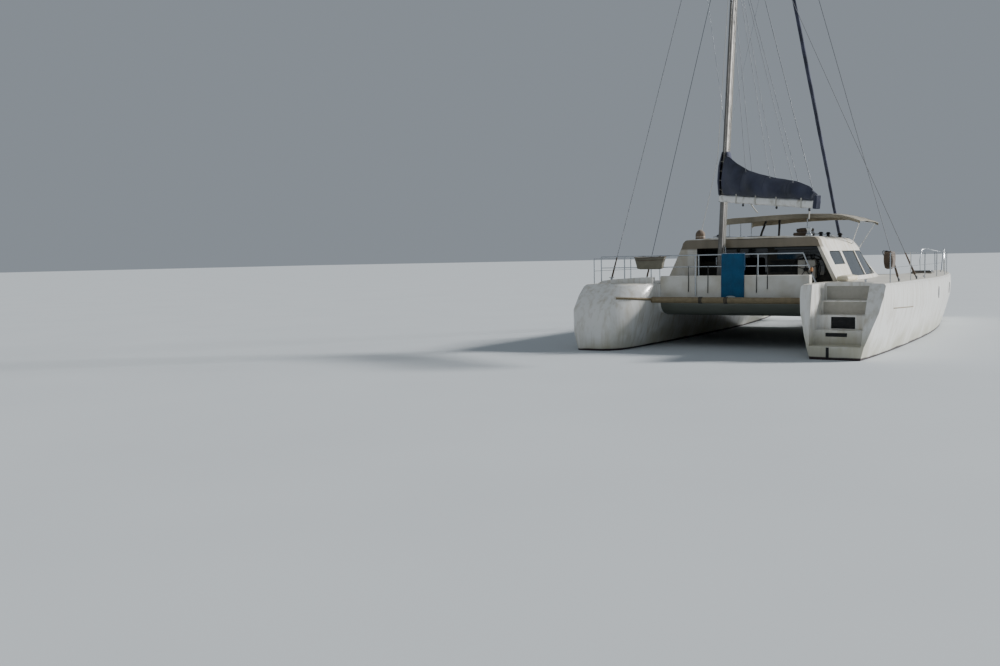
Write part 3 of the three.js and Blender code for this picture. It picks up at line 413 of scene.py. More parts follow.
def closeSlivers(bm):
    # Narrow facets up the middle of the port transom are closed up, so that it shades evenly
    middle, reach, transom, keel = -2.666, 0.063, -6.14, -0.15
    for vert in bm.verts:
        if abs(vert.co.x - middle) < reach and vert.co.y < transom and vert.co.z > keel:
            vert.co.x = middle
    bmesh.ops.remove_doubles(bm, verts=bm.verts[:], dist=0.0005)


def modified(piece, name, kind, **settings):
    modifier = piece.modifiers.new(name, kind)
    for setting, value in settings.items():
        setattr(modifier, setting, value)
    return piece


def bevelled(piece, width, degrees=35.0, segments=2):
    return modified(piece, "edges", "BEVEL", width=width, segments=segments, limit_method="ANGLE",
                    angle_limit=radians(degrees))


def thickened(piece, thickness, offset=0.0):
    return modified(piece, "wall", "SOLIDIFY", thickness=thickness, offset=offset)


def shapedGrid(across, along, shape):
    # A grid whose every vertex is moved to shape(u, v), u and v from 0 to 1; edges that meet are joined
    bm = bmesh.new()
    bmesh.ops.create_grid(bm, x_segments=across, y_segments=along, size=0.5)
    for vert in bm.verts:
        vert.co = shape(min(max(vert.co.x + 0.5, 0.0), 1.0), min(max(vert.co.y + 0.5, 0.0), 1.0))
    bmesh.ops.remove_doubles(bm, verts=bm.verts[:], dist=0.0002)
    bmesh.ops.recalc_face_normals(bm, faces=bm.faces[:])
    return bm


def capped(bm):
    bmesh.ops.holes_fill(bm, edges=bm.edges[:], sides=0)
    bmesh.ops.recalc_face_normals(bm, faces=bm.faces[:])
    return bm


def addRod(bm, start, end, radius, segments=12, endRadius=None):
    start, end = Vector(start), Vector(end)
    axis = end - start
    place = Matrix.Translation((start + end) / 2) @ axis.to_track_quat("Z", "Y").to_matrix().to_4x4()
    bmesh.ops.create_cone(bm, cap_ends=True, segments=segments, radius1=radius, radius2=endRadius or radius,
                          depth=axis.length, matrix=place)


def addBox(bm, low, high):
    low, high = Vector(low), Vector(high)
    place = Matrix.Translation((low + high) / 2) @ Matrix.Diagonal((*(high - low), 1.0))
    bmesh.ops.create_cube(bm, size=1.0, matrix=place)


def fittings(name, shapes, material, body="boat", edge=0.0, place=None):
    # One piece of boxes, each given by two corners, and rods, each by two ends, a radius and so on
    bm = bmesh.new()
    for shape in shapes:
        (addBox if len(shape) == 2 else addRod)(bm, *shape)
    if place is not None:
        bmesh.ops.transform(bm, matrix=place, verts=bm.verts[:])
    piece = finishPiece(name, bm, material, body)
    return bevelled(piece, edge) if edge else piece


def tubes(name, routes, radius, material, body="boat", smooth=False):
    # Rope, wire or bent tube along one or more lists of points
    data = bpy.data.curves.new(name, "CURVE")
    data.dimensions = "3D"
    data.bevel_depth = radius
    data.bevel_resolution = 2
    data.use_fill_caps = True
    data.resolution_u = 6
    for route in routes:
        spline = data.splines.new("NURBS" if smooth else "POLY")
        spline.points.add(len(route) - 1)
        for point, place in zip(spline.points, route):
            point.co = (*place, 1.0)
        if smooth:
            spline.order_u = 3
            spline.use_endpoint_u = True
    data.materials.append(materials[material])
    return riding(inScene(name, data), body)


surfaces = {}


def meets(nodeName, origin, direction):
    # Where a straight line first meets a CAD node, and which way the node faces there
    if nodeName not in surfaces:
        bm = bmesh.new()
        bm.from_mesh(nodes[nodeName].data)
        surfaces[nodeName] = BVHTree.FromBMesh(bm)
        bm.free()
    return surfaces[nodeName].ray_cast(Vector(origin), Vector(direction).normalized())[:2]


# CAD nodes that keep their shape: material, softening of the edges in metres, and the slot where it
# isn't the material's own, which is not used
finishes = {
    "bridgedeck": ("deck_paint", 0.012),
    "coachroof": ("roof", 0.008, "gelcoat"),
    "saloon_bulkhead": ("shadedPanel", 0.004, "gelcoat"),
    "saloon_settee": ("deck_paint", 0.02, "brown_canvas"),
    "aft_bench": ("deck_paint", 0.02),
    "cockpit_table": ("deck_paint", 0.006, "gelcoat"),
    "mast": ("spar_alloy", 0.0),
    "aft_crossbeam": ("tanStrake", 0.006, "gelcoat"),
    "forward_crossbeam": ("spar_alloy", 0.006),
    "centre_spine": ("deck_paint", 0.015, "gelcoat"),
    "anchor": ("stainless", 0.004),
    "stern_rail": ("stainless", 0.0),
    "helm_console": ("deck_paint", 0.02, "gelcoat"),
    "bimini_frame": ("stainless", 0.0),
    "bulkhead_window": ("smoked_glass", 0.0),
    "boom": ("white_alloy", 0.0),
    "helm_wheel": ("greyRubber", 0.0, "stainless"),
    "saloon_door": ("smoked_glass", 0.004),
}
sideFinishes = {
    "hull": ("gelcoat", 0.014),
    "lifelines": ("stainless", 0.0),
    "pulpit": ("stainless", 0.0),
    "cap_shroud": ("wireRope", 0.0, "stainless"),
    "lower_shroud": ("wireRope", 0.0, "stainless"),
    "side_window": ("smoked_glass", 0.0),
    "front_window": ("smoked_glass", 0.0),
    "saildrive": ("antifouling", 0.006),
    "hatch_frame": ("spar_alloy", 0.003),
    "winch": ("stainless", 0.002),
    "rudder": ("antifouling", 0.012),
    "propeller": ("bronze", 0.003),
    "hatch_lid": ("smoked_glass", 0.006),
}


def refined(nodeName, material, edge, slot=None):
    # A node that moves has a body of its own name. The port stern's corners are soft in the photo,
    # so that hull is shaded smooth over them
    body = nodeName if nodeName in frame["bodies"] else "boat"
    smooth = 60.0 if nodeName == "port_hull" else 32.0
    piece = finishPiece(nodeName + "_finish", copyOfNode(nodeName), material, body, smooth)
    if edge:
        modified(bevelled(piece, edge), "evenShading", "WEIGHTED_NORMAL", keep_sharp=True)
    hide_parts(nodeName)
    return piece


pieces = {nodeName: refined(nodeName, *finish) for nodeName, finish in finishes.items()}
for side in sides:
    for suffix, finish in sideFinishes.items():
        refined(side + "_" + suffix, *finish)
# Faces of the cabin that look inwards or down are made dark grey, a painted shade inside the cabin
cabinShadeMesh = pieces["coachroof"].data
cabinShadeMesh.materials.append(materials["greyRubber"])
for face in cabinShadeMesh.polygons:
    across, _, down = face.normal
    if down < -0.5 or across * face.center.x < 0:
        face.material_index = 1
print("nodes finished")

# Boom and stowed sail: the boom's pivot, its swing to starboard and its droop, as in the frame
boomPose = {"pivot": (-0.5104, -4.693, 3.47), "swingDegrees": 52.4, "droopDegrees": 5.8, "length": 3.5}
boomPlace = (Matrix.Translation(boomPose["pivot"])
             @ Matrix.Rotation(radians(boomPose["swingDegrees"]), 4, "Z")
             @ Matrix.Rotation(radians(boomPose["droopDegrees"]), 4, "X"))
cover = {
    "front": 0.185, "end": 3.44, "bottom": 0.079, "seams": (0.24, 0.5, 0.76),
    # distance along the boom, height of the top over the boom's axis, half width
    "rows": [(0.185, 1.0, 0.13), (0.6, 0.815, 0.15), (1.09, 0.655, 0.158), (1.59, 0.57, 0.155),
             (2.12, 0.505, 0.145), (2.81, 0.45, 0.13), (3.27, 0.35, 0.105), (3.44, 0.24, 0.08)],
}


def between(rows, at):
    # Values of a table at a place between its rows, whose first column is the place
    for first, second in zip(rows, rows[1:]):
        if at <= second[0]:
            break
    share = min(max((at - first[0]) / (second[0] - first[0]), 0.0), 1.0)
    return [a + (b - a) * share for a, b in zip(first[1:], second[1:])]


def coverPoint(u, v):
    along = cover["front"] + u * (cover["end"] - cover["front"])
    top, half = between(cover["rows"], along)
    turn = 2 * pi * v
    side, rise = -sin(turn), (1 - cos(turn)) / 2
    x = half * side * (1.08 - 0.55 * max(rise - 0.25, 0))
    z = cover["bottom"] + (top - cover["bottom"]) * rise ** 0.85
    folds = noise.noise(Vector((along * 2.2, side * 1.2 + 4, z * 2.6 + along * 2.0)))
    slack = 0.018 * folds * min(1, 6 * u) * min(1, 8 * (1 - u))
    hang = 0.05 * sin(along * 9 + z * 5) * rise * (1 - rise)
    return boomPlace @ Vector((x + side * (slack + hang), -along, z + slack * 0.4))


def sailCover():
    bag = capped(shapedGrid(70, 40, coverPoint))
    piece = finishPiece("stowedSailCover", bag, "navy_canvas", body="boom", smooth=60.0)
    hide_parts("sail_cover")
    seams = [[coverPoint(share, v / 24) for v in range(3, 22)] for share in cover["seams"]]
    seams.append([coverPoint(u / 40, 0.5) + up(0.003) for u in range(1, 40)])
    tubes("coverSeams", seams, 0.006, "navy_canvas", body="boom", smooth=True)


def boomFittings():
    # Webbing ties that hold the cover down, its end flap, and blocks and rope strops under the boom
    ties = []
    for along in (0.75, 1.5, 2.25, 3.1):
        ties.append(((-0.068, -along - 0.02, -0.086), (0.068, -along + 0.02, -0.0785)))
        ties += [((x, -along - 0.02, -0.086), (x + 0.007, -along + 0.02, 0.13)) for x in (-0.07, 0.063)]
    fittings("coverTies", ties, "whiteRope", "boom", 0.003, boomPlace)
    flap = bmesh.new()
    end = -boomPose["length"]
    addBox(flap, (-0.066, end - 0.06, -0.085), (0.066, end + 0.03, 0.19))
    bmesh.ops.subdivide_edges(flap, edges=flap.edges[:], cuts=3, use_grid_fill=True)
    for vert in flap.verts:
        vert.co.x *= 1 + 0.12 * noise.noise(vert.co * 9)
        vert.co.y += 0.02 * noise.noise(vert.co * 8)
    bmesh.ops.transform(flap, matrix=boomPlace, verts=flap.verts[:])
    bevelled(finishPiece("coverEndFlap", flap, "navy_canvas", body="boom", smooth=60.0), 0.022, 50.0, 3)
    blocks = []
    for along in (0.95, 2.2, 3.3):
        blocks.append(((-0.012, -along, -0.118), (0.012, -along, -0.118), 0.028, 14))
        blocks.append(((-0.016, -along - 0.012, -0.118), (0.016, -along + 0.012, -0.074)))
    fittings("boomFittings", blocks, "blackPlastic", "boom", 0.004, boomPlace)
    strops = [[boomPlace @ Vector((0, -y, z)) for y, z in route] for route in (
        ((1.25, -0.078), (1.32, -0.14), (1.52, -0.26)), ((3.3, -0.1), (3.31, -0.2), (3.3, -0.3)))]
    tubes("boomStrops", strops, 0.014, "whiteRope", "boom", smooth=True)


# Height over the boom's pivot that the lazy jacks and the topping lift rise to, where each pair of jacks
# leaves the cover (distance along the boom, height over its axis), how far a pair ends below that height
# per metre along, and the strop that they hang from: its height on the mast and the length of its tail
jacks = {"apex": 8.6, "shoulders": ((1.1, 0.62), (2.0, 0.5), (2.8, 0.42)), "step": 0.5,
         "stropHeight": 13.2, "tail": 1.4}
mastLine = {"foot": (-0.65, -4.45, 0.85), "head": (0.12, -4.45, 15.3),
            "halfWidth": 0.075, "halfLength": 0.12}


def atMast(z):
    foot, head = mastLine["foot"], mastLine["head"]
    return Vector(foot).lerp(Vector(head), (z - foot[2]) / (head[2] - foot[2]))


def runningRigging():
    # The upper ends lie on the pivot's upright axis, so they stay in place while the boom swings
    apex = Vector(boomPose["pivot"]) + up(jacks["apex"])
    lines = []
    for along, rise in jacks["shoulders"]:
        half = between(cover["rows"], along)[1]
        for side in (-1, 1):
            shoulder = boomPlace @ Vector((side * half * 0.5, -along, rise))
            lines.append([shoulder, apex + up(-jacks["step"] * along)])
    tubes("lazyJacks", lines, 0.0045, "wireRope", "boom")
    lift = [boomPlace @ Vector((0, -boomPose["length"] + 0.02, 0.07)), apex]
    tubes("toppingLift", [lift], 0.006, "wireRope", "boom")
    strop = [atMast(jacks["stropHeight"]) + Vector((-0.05, -0.09, 0)), apex, apex + up(-jacks["tail"])]
    tubes("jackStrop", [strop], 0.006, "wireRope")


# The cover's collar laces round the front of the mast: a bulging sleeve, open aft. Each row is a
# height, the bulge sideways, the bulge fore and aft, and the sag forward
sleeveRows = [(3.57, 0.046, 0.046, 0.0), (3.9, 0.105, 0.084, 0.03), (4.25, 0.095, 0.076, 0.028),
              (4.57, 0.016, 0.016, 0.0)]


def mastSleeve():
    def sleeve(u, v):
        z = sleeveRows[0][0] + v
        aside, lengthways, sag = between(sleeveRows, z)
        turn = radians(-62 + 304 * u)
        fold = 0.010 * noise.noise(Vector((cos(turn) * 3, sin(turn) * 3, z * 4)))
        fold += 0.006 * sin(turn * 9 + z * 6) * sin(pi * v)
        x = (mastLine["halfWidth"] + aside + fold) * cos(turn)
        return atMast(z) + Vector((x, sag + (mastLine["halfLength"] + lengthways + fold) * sin(turn), 0))

    piece = finishPiece("mastSleeve", shapedGrid(56, 28, sleeve), "navy_canvas", smooth=60.0)
    thickened(piece, 0.006)
    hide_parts("mast_collar")
    lacing = [[sleeve(0.0, level), sleeve(1.0, level + 0.04)] for level in (0.08, 0.3, 0.52, 0.74)]
    tubes("sleeveLacing", lacing, 0.004, "whiteRope")


sailCover()
boomFittings()
runningRigging()
mastSleeve()
print("boom and stowed sail made")


# Headsail rolled on its stay, and the furling drum. Start and end are gaps left at the stay's foot and
# head; the roll grows by the belly up to the middle and shrinks by the taper to the head, its leech
# stands out by the wrap, and drum rows are start, end and radius
headsail = {"foot": (0.0, 5.8, 1.5204), "headHeight": 13.4, "start": 0.52, "end": 0.42, "radius": 0.044,
            "belly": 0.006, "taper": 0.023, "wrap": 0.006,
            "drum": [(0.26, 0.275, 0.081), (0.275, 0.41, 0.062), (0.41, 0.428, 0.081), (0.43, 0.53, 0.03),
                     (0.0, 0.26, 0.016)]}


def furledHeadsail():
    foot, head = Vector(headsail["foot"]), atMast(headsail["headHeight"]) + Vector((0, 0.13, 0))
    axis = head - foot
    total = axis.length
    turn = axis.to_track_quat("Z", "Y").to_matrix()

    def roll(u, v):
        along = headsail["start"] + v * (total - headsail["start"] - headsail["end"])
        angle = 2 * pi * u
        radius = headsail["radius"] + headsail["belly"] * min(v / 0.5, 1)
        radius -= headsail["taper"] * max(v - 0.5, 0) * 2
        radius += headsail["wrap"] * ((u + along * 0.42) % 1.0)
        radius += 0.004 * noise.noise(Vector((along * 3, sin(angle), cos(angle))))
        radius *= min(1, 0.35 + 14 * v, 0.35 + 9 * (1 - v))
        return foot + turn @ Vector((radius * cos(angle), radius * sin(angle), along))

    sail = finishPiece("rolledHeadsail", capped(shapedGrid(24, 160, roll)), "navy_canvas", smooth=60.0)
    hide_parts("furled_headsail")
    drum = [(foot + turn @ up(start), foot + turn @ up(end), radius, 24)
            for start, end, radius in headsail["drum"] + [(total - headsail["end"], total, 0.009)]]
    fittings("furlingDrum", drum, "blackPlastic", edge=0.003)


furledHeadsail()
print("headsail made")

# Canopy: one sheet over three bows, sagging between them and drooping to its fore and aft edges, with
# valances, welts and a hem. Bows and bay, half the way between two bows, are shares of its depth
canopy = {"x": (-1.03, 2.25), "y": (-2.85, -0.75), "crown": 3.13, "bows": (0.08, 0.5, 0.92), "bay": 0.21,
          "sag": 0.03, "droop": 0.03, "ripple": 0.006}
# distance from the middle as a share of the half width, drop below the crown to port and to starboard
canopyDrop = [(0.0, 0.0, 0.0), (0.3, 0.007, 0.007), (0.6, 0.03, 0.03), (0.8, 0.035, 0.09),
              (0.97, 0.045, 0.19), (1.0, 0.08, 0.22)]


def canopyPoint(u, v, lift=0.0):
    x = canopy["x"][0] + u * (canopy["x"][1] - canopy["x"][0])
    y = canopy["y"][0] + v * (canopy["y"][1] - canopy["y"][0])
    w = abs(2 * u - 1)
    drop = between(canopyDrop, w)[0 if u < 0.5 else 1]
    nearest = min(abs(v - bow) for bow in canopy["bows"])
    sag = canopy["sag"] * min(nearest / canopy["bay"], 1) ** 1.5 * (1 - w ** 3)
    sag += canopy["droop"] * (2 * v - 1) ** 2
    ripple = canopy["ripple"] * noise.noise(Vector((x * 3, y * 3, 7)))
    return Vector((x, y, canopy["crown"] - drop - sag + ripple + lift))


def biminiCanopy():
    piece = finishPiece("canopySheet", shapedGrid(64, 44, canopyPoint), "khaki_canvas", smooth=60.0)
    thickened(piece, 0.004)
    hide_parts("bimini_top")
    welts = [[canopyPoint(u / 24, bow, 0.003) for u in range(25)] for bow in canopy["bows"]]
    welts.append([canopyPoint(0.5, v / 20, 0.003) for v in range(21)])
    tubes("canopyWelts", welts, 0.006, "khaki_canvas", smooth=True)
    hems = [[canopyPoint(u / 24, v) for u in range(25)] for v in (0.0, 1.0)]
    hems += [[canopyPoint(u, v / 16) for v in range(17)] for u in (0.0, 1.0)]
    tubes("canopyHems", hems, 0.011, "khaki_canvas")
    posts = [[(-0.74, -0.95, 2.52), (-0.7, -0.94, 2.72), (-0.62, -0.93, 2.9), (-0.58, -0.92, 3.05)],
             [(-0.24, -0.93, 2.54), (-0.22, -0.92, 2.8), (-0.22, -0.92, 3.08)]]
    tubes("paddedPosts", posts, 0.03, "blackPlastic", smooth=True)
    tubes("canopyPost", [[(0.98, -2.68, 2.52), (0.98, -2.68, 3.07)]], 0.014, "stainless")
    for name, end, out, deep in (("aftValance", 0.0, -0.006, 0.15), ("forwardValance", 1.0, 0.006, 0.16)):
        bm = shapedGrid(60, 6, lambda u, v: canopyPoint(u, end) + Vector((
            0, out + 0.012 * sin(u * 40) * v, -deep * v * (1 - 0.6 * u))))
        thickened(finishPiece(name, bm, "khaki_canvas", smooth=60.0), 0.003)


biminiCanopy()
print("canopy made")


# Padded pieces: a rounded block whose top crowns and whose sides pull in, with piped seams. Rounding is
# a share of the least half size, and flat the share of each face that stays flat; waist is how far the
# sides pull in, crumple the height of the wrinkles and piping the radius of the piped seams
padding = {"rounding": 0.55, "flat": 0.8, "waist": 0.03, "crumple": 0.003, "piping": 0.005}


def cushion(name, low, high, material, crown=0.02):
    low, high = Vector(low), Vector(high)
    centre, half = (low + high) / 2, (high - low) / 2
    rounding = min(half) * padding["rounding"]
    bm = bmesh.new()
    bmesh.ops.create_cube(bm, size=2.0)
    bmesh.ops.subdivide_edges(bm, edges=bm.edges[:], cuts=9, use_grid_fill=True)
    for vert in bm.verts:
        unit = vert.co.copy()
        place = Vector([unit[i] * (half[i] - rounding) for i in range(3)])
        outward = Vector([copysign(max(abs(unit[i]) - padding["flat"], 0), unit[i]) for i in range(3)])
        if outward.length:
            place += outward.normalized() * rounding
        place.z += crown * unit.z * ((1 - unit.x ** 4) * (1 - unit.y ** 4) - 0.6)
        place.x *= 1 - padding["waist"] * (1 - unit.y ** 2)
        place.y *= 1 - padding["waist"] * (1 - unit.x ** 2)
        place.z += padding["crumple"] * noise.noise(place * 6 + centre)
        vert.co = centre + place
    bmesh.ops.recalc_face_normals(bm, faces=bm.faces[:])
    piece = finishPiece(name, bm, material, smooth=180.0)
    modified(piece, "rounding", "SUBSURF", levels=1, render_levels=1)
    seams = []
    for level in (-1, 1):
        loop = []
        for step in range(49):
            angle = 2 * pi * step / 48
            c, s = cos(angle), sin(angle)
            x = copysign(abs(c) ** 0.25, c) * (half.x - rounding * 0.34)
            y = copysign(abs(s) ** 0.25, s) * (half.y - rounding * 0.34)
            loop.append(centre + Vector((x, y, level * (half.z - rounding * 0.5))))
        seams.append(loop)
    tubes(name + "Piping", seams, padding["piping"], material, smooth=True)
    return piece


def seatCushions():
    for index, (x0, x1) in enumerate(((-1.28, -0.44), (-0.42, 0.42), (0.44, 1.28))):
        low, high = (x0, -5.17, 1.242), (x1, -4.71, 1.335)
        cushion("benchCushion%d" % index, low, high, "khaki_canvas", crown=0.015)
    for index, (low, high) in enumerate((
        ((-1.58, -0.98, 1.292), (-1.07, 1.12, 1.4)), ((-1.58, 1.17, 1.292), (1.58, 1.73, 1.4)),
        ((1.07, 0.02, 1.292), (1.58, 1.12, 1.4)),
    )):
        cushion("setteeCushion%d" % index, low, high, "brown_canvas")


def roofSeat():
    # A folding brown seat on the roof: a pad, and a back that stands at its forward edge
    low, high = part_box("roof_seat")
    middle = (low.z + high.z) / 2
    pad = cushion("roofSeatPad", (low.x, low.y, low.z), (high.x, high.y, middle), "brown_canvas")
    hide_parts("roof_seat")
    cushion("roofSeatBack", (low.x + 0.02, low.y + 0.22, middle), (high.x - 0.02, high.y - 0.01, high.z),
            "brown_canvas")


seatCushions()
roofSeat()
# Off-white vinyl bolster lying on the starboard side deck
cushion("deckBolster", (2.22, -5.05, 1.51), (2.5, -4.05, 1.64), "vinyl")
print("cushions made")


# Canvas bags on the rails: sagging shells, hemmed, on two webbing straps; half widths at the top and at
# the bottom, half height and half thickness
railBags = {
    "portRailBag": {"node": "port_rail_bag", "cloth": "greyCanvas", "centre": (-1.97, -5.4644, 1.985),
                    "topHalf": 0.4, "bottomHalf": 0.32, "tall": 0.15, "thick": 0.105, "degrees": 0},
    "starboardRailBag": {"node": "starboard_rail_bag", "cloth": "brown_canvas",
                         "centre": (3.321, -5.02, 1.96), "topHalf": 0.23, "bottomHalf": 0.15,
                         "tall": 0.185, "thick": 0.105, "degrees": 90},
}


def railBag(name, node, cloth, centre, topHalf, bottomHalf, tall, thick, degrees):
    centre = Vector(centre)
    turn = Matrix.Rotation(radians(degrees), 3, "Z")

    def shell(u, v):
        angle = 2 * pi * u
        c, s = cos(angle), sin(angle)
        bulge = sin(pi * min(v * 1.05, 1))
        half = topHalf + (bottomHalf - topHalf) * v
        taper = max(v - 0.93, 0)
        x = copysign(abs(c) ** 0.35, c) * half * (1 - 0.03 * bulge) * (1 - taper * 3)
        y = copysign(abs(s) ** 0.5, s) * thick * (0.72 + 0.24 * bulge) * (1 - taper * 6)
        z = tall - 2 * tall * v
        fold = 0.008 * noise.noise(Vector((x * 7, y * 7, z * 9)) + centre)
        sag = -0.018 * (1 - (x / half) ** 2) * (1 - v)
        return centre + turn @ Vector((x + fold, y * (1 + fold * 2), z + sag))

    piece = finishPiece(name, capped(shapedGrid(56, 26, shell)), cloth, smooth=60.0)
    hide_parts(node)
    hems = [[shell(u / 48, v) for u in range(49)] for v in (0.03, 0.24)]
    tubes(name + "Hems", hems, 0.008, "brown_canvas", smooth=True)
    straps = []
    for offset in (-0.55, 0.55):
        x = offset * topHalf
        route = [(x, thick * 0.86, tall * 0.5), (x, thick + 0.004, tall * 0.75),
                 (x, thick + 0.012, tall + 0.004), (x, thick * 0.9, tall + 0.02), (x, 0.02, tall - 0.008),
                 (x, -thick * 0.74, tall * 0.9)]
        straps.append([centre + turn @ Vector(point) for point in route])
    tubes(name + "Straps", straps, 0.008, "blackPlastic", smooth=True)


for name, bag in railBags.items():
    railBag(name, **bag)
print("bags made")

# Towel: cloth dropped over the stern rail and left to settle against the coaming
towelCut = {"width": 0.54, "length": 1.46, "inside": 0.36, "left": -0.245, "cell": 0.02,
            "frames": 35}
towelCloth = {"quality": 6, "mass": 0.35, "tension_stiffness": 20, "compression_stiffness": 20,
              "shear_stiffness": 8, "bending_stiffness": 0.6, "air_damping": 2, "vertex_group_mass": "fold"}
rail = {"y": -5.34, "z": 2.15, "reach": 0.022}
# Boxes in place of the coaming and the rail, for the cloth to rest on
towelGuards = (((-1.0, -5.38, 0.9), (1.0, -5.2, 1.67)), ((-1.0, -5.354, 2.136), (1.0, -5.326, 2.164)))


def hangingTowel(u, v):
    x = towelCut["left"] + u * towelCut["width"]
    run = v * towelCut["length"] - towelCut["inside"]
    arc = pi * rail["reach"]
    if run < 0:
        return Vector((x, rail["y"] + rail["reach"], rail["z"] + run))
    if run < arc:
        angle = run / rail["reach"]
        return Vector((x, rail["y"] + rail["reach"] * cos(angle),
                       rail["z"] + rail["reach"] * sin(angle)))
    drop = run - arc
    out = 0.045 * min(drop / 0.3, 1)
    wave = 0.006 * sin(x * 26 + 1.0) * min(drop * 3, 1)
    return Vector((x, rail["y"] - rail["reach"] - out + wave, rail["z"] - drop))


def towelOnRail():
    columns = round(towelCut["width"] / towelCut["cell"])
    rows = round(towelCut["length"] / towelCut["cell"])
    piece = finishPiece("railTowel", shapedGrid(columns, rows, hangingTowel), "teal_cloth", smooth=60.0)
    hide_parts("towel")
    settle(piece)
    thickened(piece, 0.005, 1.0)


def settle(piece):
    held = piece.vertex_groups.new(name="fold")
    crest = rail["z"] + rail["reach"] * 0.75
    held.add([v.index for v in piece.data.vertices if v.co.z > crest], 1.0, "REPLACE")
    guards = []
    for low, high in towelGuards:
        bm = bmesh.new()
        addBox(bm, low, high)
        guard = inScene("towelGuard", asMesh("towelGuard", bm))
        guard.modifiers.new("guard", "COLLISION")
        guard.collision.thickness_outer = 0.004
        guards.append(guard)
    cloth = piece.modifiers.new("cloth", "CLOTH")
    for setting, value in towelCloth.items():
        setattr(cloth.settings, setting, value)
    cloth.collision_settings.distance_min = 0.004
    cloth.point_cache.frame_end = 40
    for step in range(1, towelCut["frames"] + 1):
        bpy.context.scene.frame_set(step)
    settled = piece.evaluated_get(bpy.context.evaluated_depsgraph_get()).data
    places = [v.co.copy() for v in settled.vertices]
    piece.modifiers.remove(cloth)
    for vert, place in zip(piece.data.vertices, places):
        vert.co = place
    for guard in guards:
        bpy.data.objects.remove(guard)
    bpy.context.scene.frame_set(1)


towelOnRail()
print("towel settled")


# Nets between the hulls: cord in 75 mm squares, drawn 8 mm thick, inside a webbing border
netting = {"cell": 0.075, "cord": 0.008, "sag": 0.02, "border": 0.06}


def trampolineNet(side):
    nodeName = side + "_trampoline"
    low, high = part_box(nodeName)
    size = high - low
    columns, rows = round(size.x / netting["cell"]), round(size.y / netting["cell"])
    bm = shapedGrid(columns, rows, lambda u, v: Vector((
        low.x + u * size.x, low.y + v * size.y,
        (low.z + high.z) / 2 - netting["sag"] * sin(pi * u) * sin(pi * v))))
    loose = [v for v in bm.verts if meets(nodeName, v.co + up(0.5), (0, 0, -1))[0] is None]
    bmesh.ops.delete(bm, geom=loose, context="VERTS")
    net = finishPiece(side + "Net", bm, "netting", smooth=60.0)
    modified(net, "cords", "WIREFRAME", thickness=netting["cord"], use_replace=True)
    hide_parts(nodeName)
    border = copyOfNode(nodeName)
    others = [face for face in border.faces if face.normal.z <= 0.9]
    bmesh.ops.delete(border, geom=others, context="FACES")
    ring = set(bmesh.ops.inset_region(border, faces=border.faces[:], thickness=netting["border"],
                                      use_boundary=True, use_even_offset=True)["faces"])
    bmesh.ops.delete(border, geom=[face for face in border.faces if face not in ring], context="FACES")
    thickened(finishPiece(side + "NetBorder", border, "greyRubber"), 0.008)


for side in sides:
    trampolineNet(side)
print("nets made")


# Hull fittings
def sternSteps():
    # Dark grilles in the vent and the slot of the starboard steps, a black bar as painted shade in an
    # upright groove in the transom, non-slip pads on the treads and grey panels on the two upper risers
    # as painted shade on faces that look aft
    fittings("ventPanels", [
        ((2.424, -6.235, 0.58), (2.896, -6.2, 0.815)), ((2.384, -6.535, 0.434), (2.806, -6.5, 0.506)),
        # Black bar: painted shade in the transom's upright groove
        ((2.50, -7.006, 0.03), (2.56, -6.96, 0.25)),
    ], "blackPlastic", edge=0.004)
    slats = [((2.43, -6.252, 0.6 + n * 0.03), (2.89, -6.236, 0.608 + n * 0.03)) for n in range(7)]
    fittings("ventSlats", slats, "greyRubber", edge=0.002)
    treads = ((-6.93, -6.57, 0.27), (-6.53, -6.27, 0.56), (-6.23, -6.0, 0.85), (-5.96, -5.72, 1.14))
    pads = [((2.24, front, z + 0.0005), (3.08, back, z + 0.005)) for front, back, z in treads]
    fittings("stepPads", pads, "gelcoat", edge=0.002)
    # Grey riser panels: painted shade on the aft-facing risers
    risers = [((2.2, face - 0.004, low), (3.08, face - 0.0005, high))
              for face, low, high in ((-5.98, 0.86, 1.12), (-5.70, 1.15, 1.44))]
    fittings("riserPanels", risers, "riserPaintedShade", edge=0.0015)


def strakes():
    # Tan strake along the port hull's inner side, a thin one low on the starboard hull's outer side,
    # and dark lashings round the aft beam
    inner = [meets("port_hull", (0.0, -6.8 + n * 0.065, 1.2 - n * 0.004), (-1, 0, 0))[0] for n in range(16)]
    outer = [meets("starboard_hull", (6.0, -5.7 + n * 0.2, 0.98 - n * 0.007), (-1, 0, 0))[0]
             for n in range(11)]
    proud = [place + Vector((0.01, 0, 0)) for place in inner if place is not None]
    tubes("tanStrake", [proud], 0.03, "tanStrake", smooth=True)
    tubes("sideScuffStrip", [outer], 0.011, "tanStrake", smooth=True)
    lashings = [((x + turn - 0.008, -5.75, 1.12), (x + turn + 0.008, -5.75, 1.12), 0.077, 24)
                for x in (-1.87, -0.6, 0.0) for turn in (-0.03, 0.0, 0.03)]
    fittings("beamLashings", lashings, "greyRubber")


def hullPortlights():
    bm = bmesh.new()
    for side, sign in sides.items():
        for y, z in ((0.0, 1.08), (2.6, 1.1)):
            place, normal = meets(side + "_hull", (sign * 6.0, y, z), (-sign, 0, 0))
            turn = normal.to_track_quat("Z", "Y").to_matrix().to_4x4()
            oval = Matrix.Translation(place + normal * 0.002) @ turn @ Matrix.Diagonal((1.0, 2.1, 1.0, 1.0))
            bmesh.ops.create_cone(bm, cap_ends=True, segments=32, radius1=0.075, radius2=0.07, depth=0.014,
                                  matrix=oval)
    bevelled(finishPiece("hullPortlights", bm, "smoked_glass"), 0.003)


